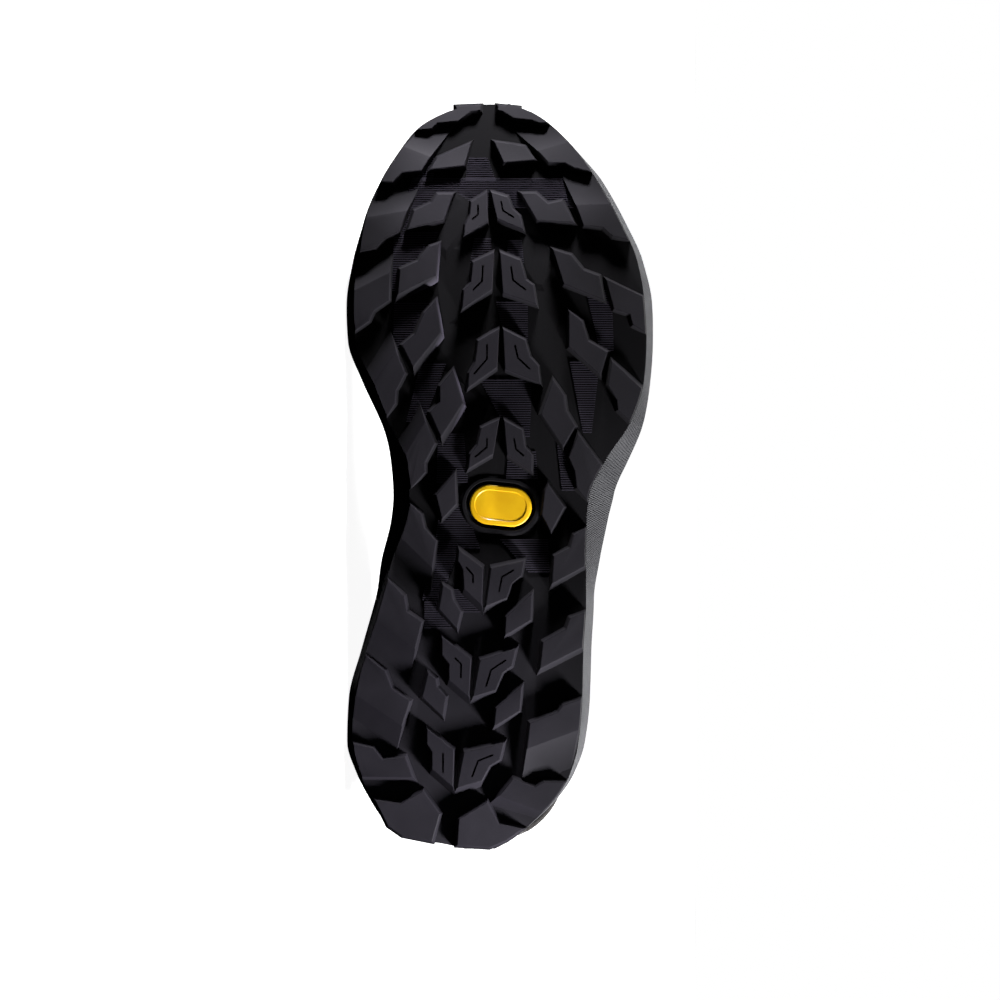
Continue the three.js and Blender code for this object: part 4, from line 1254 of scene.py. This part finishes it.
def tongue_place(s, t):
    side = 1 if s >= 0.5 else -1
    share = abs(2 * s - 1)
    rounded_tip = 0.35 * share**6
    u = mix(THROAT_START - 0.6, collar_u(0.48, 1, 15.0) - rounded_tip, t)
    half = (8 + throat_half(max(u, THROAT_START + 1))) * share
    w = RIDGE if half < 0.3 else beside(round(u, 3), side, round(half, 2))
    return last_point(u, w, side, tongue_puff(s, t))


tongue = bmesh.new()
sheet_mesh(tongue, 30, 160, tongue_place)
face_outwards(tongue)
flap = finish_piece(tongue, "padded_tongue", [trim, lining], ["tongue"], 60)
thicken(flap, TONGUE_WALL, 0.8)

# Collar cuff: soft leather over foam, in two padded rolls round the ankle. It is sewn to the quarters
# between the rolls and along its top.
CUFF_HEIGHT = 30.0
FLOOR_GAP = 0.0001


def cuff_puff(s, t):
    """How far the cuff lies from the last: two rolls, thin at the front edge."""
    roll = abs(math.sin(math.pi * 2 * t)) ** 0.55
    return JOINT + 0.9 + 1.9 * roll * min(1.0, (1 - s) * 9)


cuff = bmesh.new()
for side in (1, -1):
    half_panel(
        cuff,
        side,
        low_u=partial(collar_u, lift=-CUFF_HEIGHT),
        high_u=collar_u,
        low_w=BACK,
        high_w=partial(throat_w, outside=STAY_SPREAD + 0.6),
        offset=cuff_puff,
        across=48,
        up=40,
    )
face_outwards(cuff)
for vert in cuff.verts:
    below = FLOOR_GAP - (LAID @ vert.co).z
    if below > 0:
        vert.co.y += below * 1000
collar = finish_piece(cuff, "padded_collar", [trim], ["collar_cuff"], 60)
thicken(collar, 0.8, 0.3)
seams = bmesh.new()
for side in (1, -1):
    for share in (0.5, 0.985):
        row = []
        for w in evenly(0.002, 0.395, 120):
            low = collar_u(round(w, 4), side, -CUFF_HEIGHT)
            row.append((mix(low, collar_u(round(w, 4), side), 1 - share), w, side))
        sew(seams, row, JOINT + 1.15)
finish_piece(seams, "collar_seams", [thread_finish])

# Eyelets: stamped dark steel rings, one in each of four pairs of bores, clinched through the facing.
# Places below are sections of the last.
EYELET_ROWS = [6.9, 7.8, 8.8, 10.2]
FLANGE_SEAT = OVERLAY_SEAT + 0.45
steel, spot = mottled_finish(
    "dark steel", (0.2, 0.2, 0.205), 0.32, 220, (0.14, 0.14, 0.145), (0.3, 0.3, 0.31), Metallic=1.0
)
scratch = wire(steel, "ShaderNodeTexNoise", {"Vector": spot, "Scale": 700, "Detail": 3})
dulled = {"Value": scratch.outputs[0], "To Min": 0.24, "To Max": 0.46}
into_shader(steel, "Roughness", wire(steel, "ShaderNodeMapRange", dulled).outputs[0])


def lace_spot(u, side):
    """The middle of a facing at a section, where its hardware sits."""
    return u, throat_w(u, side, STAY_SPREAD * 0.45), side


def turned_piece(profile, u, w, side):
    """A round piece spun from its profile and stood on the facing."""
    bm = bmesh.new()
    bm.loops.layers.uv.new("UVMap")
    line = [bm.verts.new((r, 0, h)) for r, h in profile]
    edges = [bm.edges.new(pair) for pair in zip(line, line[1:])]
    bmesh.ops.spin(
        bm,
        geom=line + edges,
        cent=(0, 0, 0),
        axis=(0, 0, 1),
        angle=2 * math.pi,
        steps=28,
        use_merge=True,
    )
    bmesh.ops.remove_doubles(bm, verts=bm.verts, dist=0.01)
    bmesh.ops.recalc_face_normals(bm, faces=bm.faces)
    up = outward(u, w if side > 0 else 1 - w)
    stand = up.to_track_quat("Z", "Y").to_matrix().to_4x4()
    place = Matrix.Translation(last_point(u, w, side, FLANGE_SEAT)) @ stand
    bmesh.ops.transform(bm, matrix=place, verts=bm.verts)
    return bm


def set_in_rows(profile, rows, piece, node):
    """Sets one turned steel piece in every row of both facings."""
    for side, name in SIDES:
        for number, row in enumerate(rows, 1):
            made = turned_piece(profile, *lace_spot(row, side))
            place = f"{name}_{number}"
            finish_piece(made, f"{piece}_{place}", [steel], [f"{node}_{place}"])


EYELET_PROFILE = [
    (1.75, -2.2),
    (1.75, 0.5),
    (1.95, 0.95),
    (2.4, 1.15),
    (3.1, 1.1),
    (3.8, 0.75),
    (4.15, 0.3),
    (4.2, 0.0),
    (2.6, 0.0),
    (2.6, -2.2),
    (1.75, -2.2),
]
set_in_rows(EYELET_PROFILE, EYELET_ROWS, "ring", "eyelet")

# Lace hooks: steel studs riveted above the eyelets, with a waist that the lace is pulled round.
HOOK_ROWS = [12.2, 15.8]
HOOK_WAIST = 1.6
HOOK_WAIST_AT = 3.0
HOOK_PROFILE = [
    (0, 0),
    (4.2, 0),
    (4.2, 0.6),
    (3.7, 1.1),
    (2.2, 1.35),
    (HOOK_WAIST, 1.9),
    (HOOK_WAIST, 4.2),
    (2.4, 4.75),
    (3.6, 4.9),
    (3.85, 5.2),
    (3.6, 5.75),
    (2.4, 6.0),
    (0, 6.1),
]
set_in_rows(HOOK_PROFILE, HOOK_ROWS, "stud", "lace_hook")

# Lace: one round braided polyester cord, crossed up the throat through the eyelets and round the
# studs. Its ends are tucked in at the top pair.
LACE_RADIUS = 2.0


def through(points, t):
    """A smooth curve through its points, t from 0 to 1."""
    place = t * (len(points) - 1)
    k = min(int(place), len(points) - 2)
    f = place - k
    a, b, c, d = (points[min(max(k + j, 0), len(points) - 1)] for j in (-1, 0, 1, 2))
    return 0.5 * (2 * b + (c - a) * f + (2 * a - 5 * b + 4 * c - d) * f**2 + (3 * (b - c) + d - a) * f**3)


def cord_mesh(bm, points, radius, around=12, steps=90):
    """A round cord along a curve, with its ends rounded off."""

    def place(s, t):
        at = through(points, t)
        ahead = through(points, min(t + 0.004, 1.0)) - through(points, max(t - 0.004, 0.0))
        forward = ahead.normalized()
        sideways = forward.cross(Vector((0.3, 0.2, 1.0))).normalized()
        over = forward.cross(sideways)
        angle = 2 * math.pi * s
        end = min(t, 1 - t) * 30
        slim = radius * math.sqrt(max(0.0, 1 - max(0.0, 1 - end) ** 2))
        return at + (sideways * math.cos(angle) + over * math.sin(angle)) * slim

    sheet_mesh(bm, around, steps, place)


def across_throat(start, end, lift):
    """Points of one crossing, from one place beside the throat over the tongue to another."""
    points = []
    for k in range(9):
        t = k / 8
        u = mix(start[0], end[0], t)
        share = 1 - 2 * t
        side = start[2] if share >= 0 else end[2]
        w_from = start[1] if share >= 0 else end[1]
        w = mix(0.5, w_from, abs(share))
        rest = FLANGE_SEAT + 1.1 + LACE_RADIUS + 0.4
        height = mix(0.4 + lift, rest, smooth(abs(share), 0.1, 0.75))
        points.append(last_point(u, w, side, height))
    return points


def down_bore(spot):
    """The lace's way through one eyelet."""
    u, w, side = spot
    return [last_point(u, w, side, -2.0), last_point(u, w, side, FLANGE_SEAT + 0.8)]


def round_stud(row, side):
    """The half turn that the lace takes round a stud."""
    u, w, _ = lace_spot(row, side)
    lift = FLANGE_SEAT + HOOK_WAIST_AT
    centre = last_point(u, w, side, lift)
    up = outward(u, w if side > 0 else 1 - w)
    farther = last_point(u, throat_w(u, side, STAY_SPREAD * 0.45 + 4), side, lift)
    away = (farther - centre).normalized()
    upward = up.cross(away).normalized()
    if upward.z < 0:
        upward = -upward
    reach = HOOK_WAIST + LACE_RADIUS * 0.85
    turns = [math.radians(a) for a in (-90, -45, 0, 45, 90)]
    return [centre + (away * math.cos(a) + upward * math.sin(a)) * reach for a in turns]


lace = bmesh.new()
LOW_CROSSING = 1.2
HIGH_CROSSING = 4.6
rows = EYELET_ROWS + HOOK_ROWS
spots = {side: [lace_spot(row, side) for row in rows] for side in (1, -1)}


def from_bore_to_bore(start, end, lift):
    bar = across_throat(start, end, lift)[1:-1]
    cord_mesh(lace, down_bore(start) + bar + down_bore(end)[::-1], LACE_RADIUS)


from_bore_to_bore(spots[1][0], spots[-1][0], LOW_CROSSING)
for k in range(3):
    from_bore_to_bore(spots[1][k], spots[-1][k + 1], LOW_CROSSING)
    from_bore_to_bore(spots[-1][k], spots[1][k + 1], HIGH_CROSSING)
for side, lift, lift_back in ((1, LOW_CROSSING, HIGH_CROSSING), (-1, HIGH_CROSSING, LOW_CROSSING)):
    up_bar = across_throat(spots[side][3], spots[-side][4], lift)[1:-1]
    top_bar = across_throat(spots[-side][4], spots[side][5], lift_back)[1:-1]
    path = down_bore(spots[side][3]) + up_bar[:-1] + round_stud(HOOK_ROWS[0], -side)
    path += top_bar[1:-1] + round_stud(HOOK_ROWS[1], side)
    cord_mesh(lace, path, LACE_RADIUS, steps=220)
bmesh.ops.remove_doubles(lace, verts=lace.verts, dist=0.005)
bmesh.ops.recalc_face_normals(lace, faces=lace.faces)

braid, _ = mottled_finish(
    "braided lace",
    (0.05, 0.05, 0.054),
    0.8,
    500,
    (0.03, 0.03, 0.033),
    (0.08, 0.08, 0.086),
    Sheen_Weight=0.2,
)
strand_map = wire(braid, "ShaderNodeTexCoord").outputs["UV"]
relief = None
for slant in (1, -1):
    stretch = (3.0, 26.0 * slant, 1.0)
    laid = wire(braid, "ShaderNodeMapping", {"Vector": strand_map, "Scale": stretch})
    strand = wire(
        braid,
        "ShaderNodeTexWave",
        {"Vector": laid.outputs[0], "Scale": 0.3142},
        bands_direction="DIAGONAL",
    )
    relief = raise_by(braid, strand, 0.7, 0.0005, relief)
into_shader(braid, "Normal", relief)
finish_piece(lace, "braided_lace", [braid], ["lace"], 60)

# Pull loop: a strip of polyester webbing, sewn flat to the back of the collar at both ends, with
# enough slack between them for a finger.
# section of the last and how far the strap stands off it
LOOP_SPOTS = [
    (18.35, 0.9),
    (18.5, 1.1),
    (18.7, 2.6),
    (19.0, 5.4),
    (19.35, 6.8),
    (19.65, 6.4),
    (19.9, 5.0),
    (20.05, 4.3),
]
LOOP_WIDTH = 13


def loop_place(s, t):
    k = min(int(t * (len(LOOP_SPOTS) - 1)), len(LOOP_SPOTS) - 2)
    f = t * (len(LOOP_SPOTS) - 1) - k
    u = mix(LOOP_SPOTS[k][0], LOOP_SPOTS[k + 1][0], f)
    rise = mix(LOOP_SPOTS[k][1], LOOP_SPOTS[k + 1][1], f)
    at = last_point(u, BACK, 1, rise)
    at.y += (s - 0.5) * LOOP_WIDTH
    return at


loop = bmesh.new()
sheet_mesh(loop, 10, 42, loop_place)
face_outwards(loop)
webbing = woven_finish("webbing", (0.03, 0.03, 0.034), (0.07, 0.07, 0.076), 700)
strap = finish_piece(loop, "webbing_loop", [webbing], ["pull_loop"], 60)
thicken(strap, 1.6, 0.3)

# Floor, backdrop and soft lights of a plain white studio. Two small lamps low over the toe and the
# heel throw the lugs' shadows, two large ones fill in, and the camera stands square to the tread.
STUDIO = 9.0
WHITE = (1, 1, 1, 1)


def stage_piece(bm, name, finish):
    mesh = bpy.data.meshes.new(name)
    bm.to_mesh(mesh)
    bm.free()
    mesh.shade_smooth()
    mesh.materials.append(finish)
    piece = bpy.data.objects.new(name, mesh)
    bpy.context.scene.collection.objects.link(piece)
    piece.visible_diffuse = False
    piece.visible_glossy = False
    piece.visible_shadow = False


disc = bmesh.new()
bmesh.ops.create_circle(disc, cap_ends=True, segments=96, radius=STUDIO)
floor_white = new_finish("floor white", (0.9, 0.9, 0.9), 0.9, Emission_Color=WHITE)
spot = wire(floor_white, "ShaderNodeTexCoord").outputs["Object"]
far = wire(floor_white, "ShaderNodeVectorMath", {0: spot}, operation="LENGTH")
reach = {"From Min": 0.3, "From Max": 2.5, "To Min": 0.94, "To Max": 1.0}
haze = wire(floor_white, "ShaderNodeMapRange", {"Value": far.outputs["Value"], **reach})
into_shader(floor_white, "Emission Strength", haze.outputs[0])
stage_piece(disc, "studio_floor", floor_white)

dome = bmesh.new()
bmesh.ops.create_uvsphere(dome, u_segments=64, v_segments=32, radius=STUDIO)
bmesh.ops.delete(dome, geom=[v for v in dome.verts if v.co.z < -0.01], context="VERTS")
bmesh.ops.reverse_faces(dome, faces=dome.faces)
dome_white = new_finish(
    "backdrop white", (0.0, 0.0, 0.0), 1.0, Emission_Color=WHITE, Emission_Strength=1.0
)
stage_piece(dome, "studio_dome", dome_white)

world = bpy.data.worlds.new("studio")
bpy.context.scene.world = world
world.use_nodes = True
sky = world.node_tree.nodes["Background"]
sky.inputs["Strength"].default_value = 0.05
heading = world.node_tree.nodes.new("ShaderNodeTexCoord")
height = world.node_tree.nodes.new("ShaderNodeSeparateXYZ")
glow = world.node_tree.nodes.new("ShaderNodeValToRGB")
glow.color_ramp.elements[0].position = 0.0
glow.color_ramp.elements[1].position = 0.35
world.node_tree.links.new(heading.outputs["Generated"], height.inputs[0])
world.node_tree.links.new(height.outputs["Z"], glow.inputs[0])
world.node_tree.links.new(glow.outputs[0], sky.inputs["Color"])


def softbox(name, place, aim, size, power):
    """A square lamp at a place in the boot's own frame, turned to another."""
    lamp = bpy.data.lights.new(name, "AREA")
    lamp.shape = "SQUARE"
    lamp.size = size
    lamp.energy = power
    holder = bpy.data.objects.new(name, lamp)
    bpy.context.scene.collection.objects.link(holder)
    holder.location = LAID @ Vector(place)
    towards = holder.location - LAID @ Vector(aim)
    holder.rotation_euler = towards.to_track_quat("Z", "Y").to_euler()


softbox("toe_key", (540, 60, -62), (250, 0, 0), 0.06, 3.7)
softbox("heel_key", (-173, 233, -112), (60, 0, 0), 0.06, 4.4)
softbox("top", (140, 2200, 550), (140, 0, 60), 1.6, 16)
softbox("behind", (400, 1200, 1800), (140, 0, 100), 1.2, 26)

CAMERA_FAR = 2.2
VIEW_HALF_WIDTH = 0.2
camera = bpy.data.cameras.new("camera")
camera.sensor_fit = "HORIZONTAL"
camera.angle = 2 * math.atan(VIEW_HALF_WIDTH / CAMERA_FAR)
eye = bpy.data.objects.new("camera", camera)
bpy.context.scene.collection.objects.link(eye)
lateral = LAID.to_3x3() @ Vector((0, 1000, 0))
toe = LAID.to_3x3() @ Vector((1000, 0, 0))
inward = LAID.to_3x3() @ Vector((0, 0, 1000))
pose = Matrix((lateral, toe, -inward)).transposed().to_4x4()
pose.translation = LAID @ Vector((140, 2, 0)) - inward * CAMERA_FAR
eye.matrix_world = pose
bpy.context.scene.camera = eye
bpy.context.scene.view_settings.view_transform = "Standard"
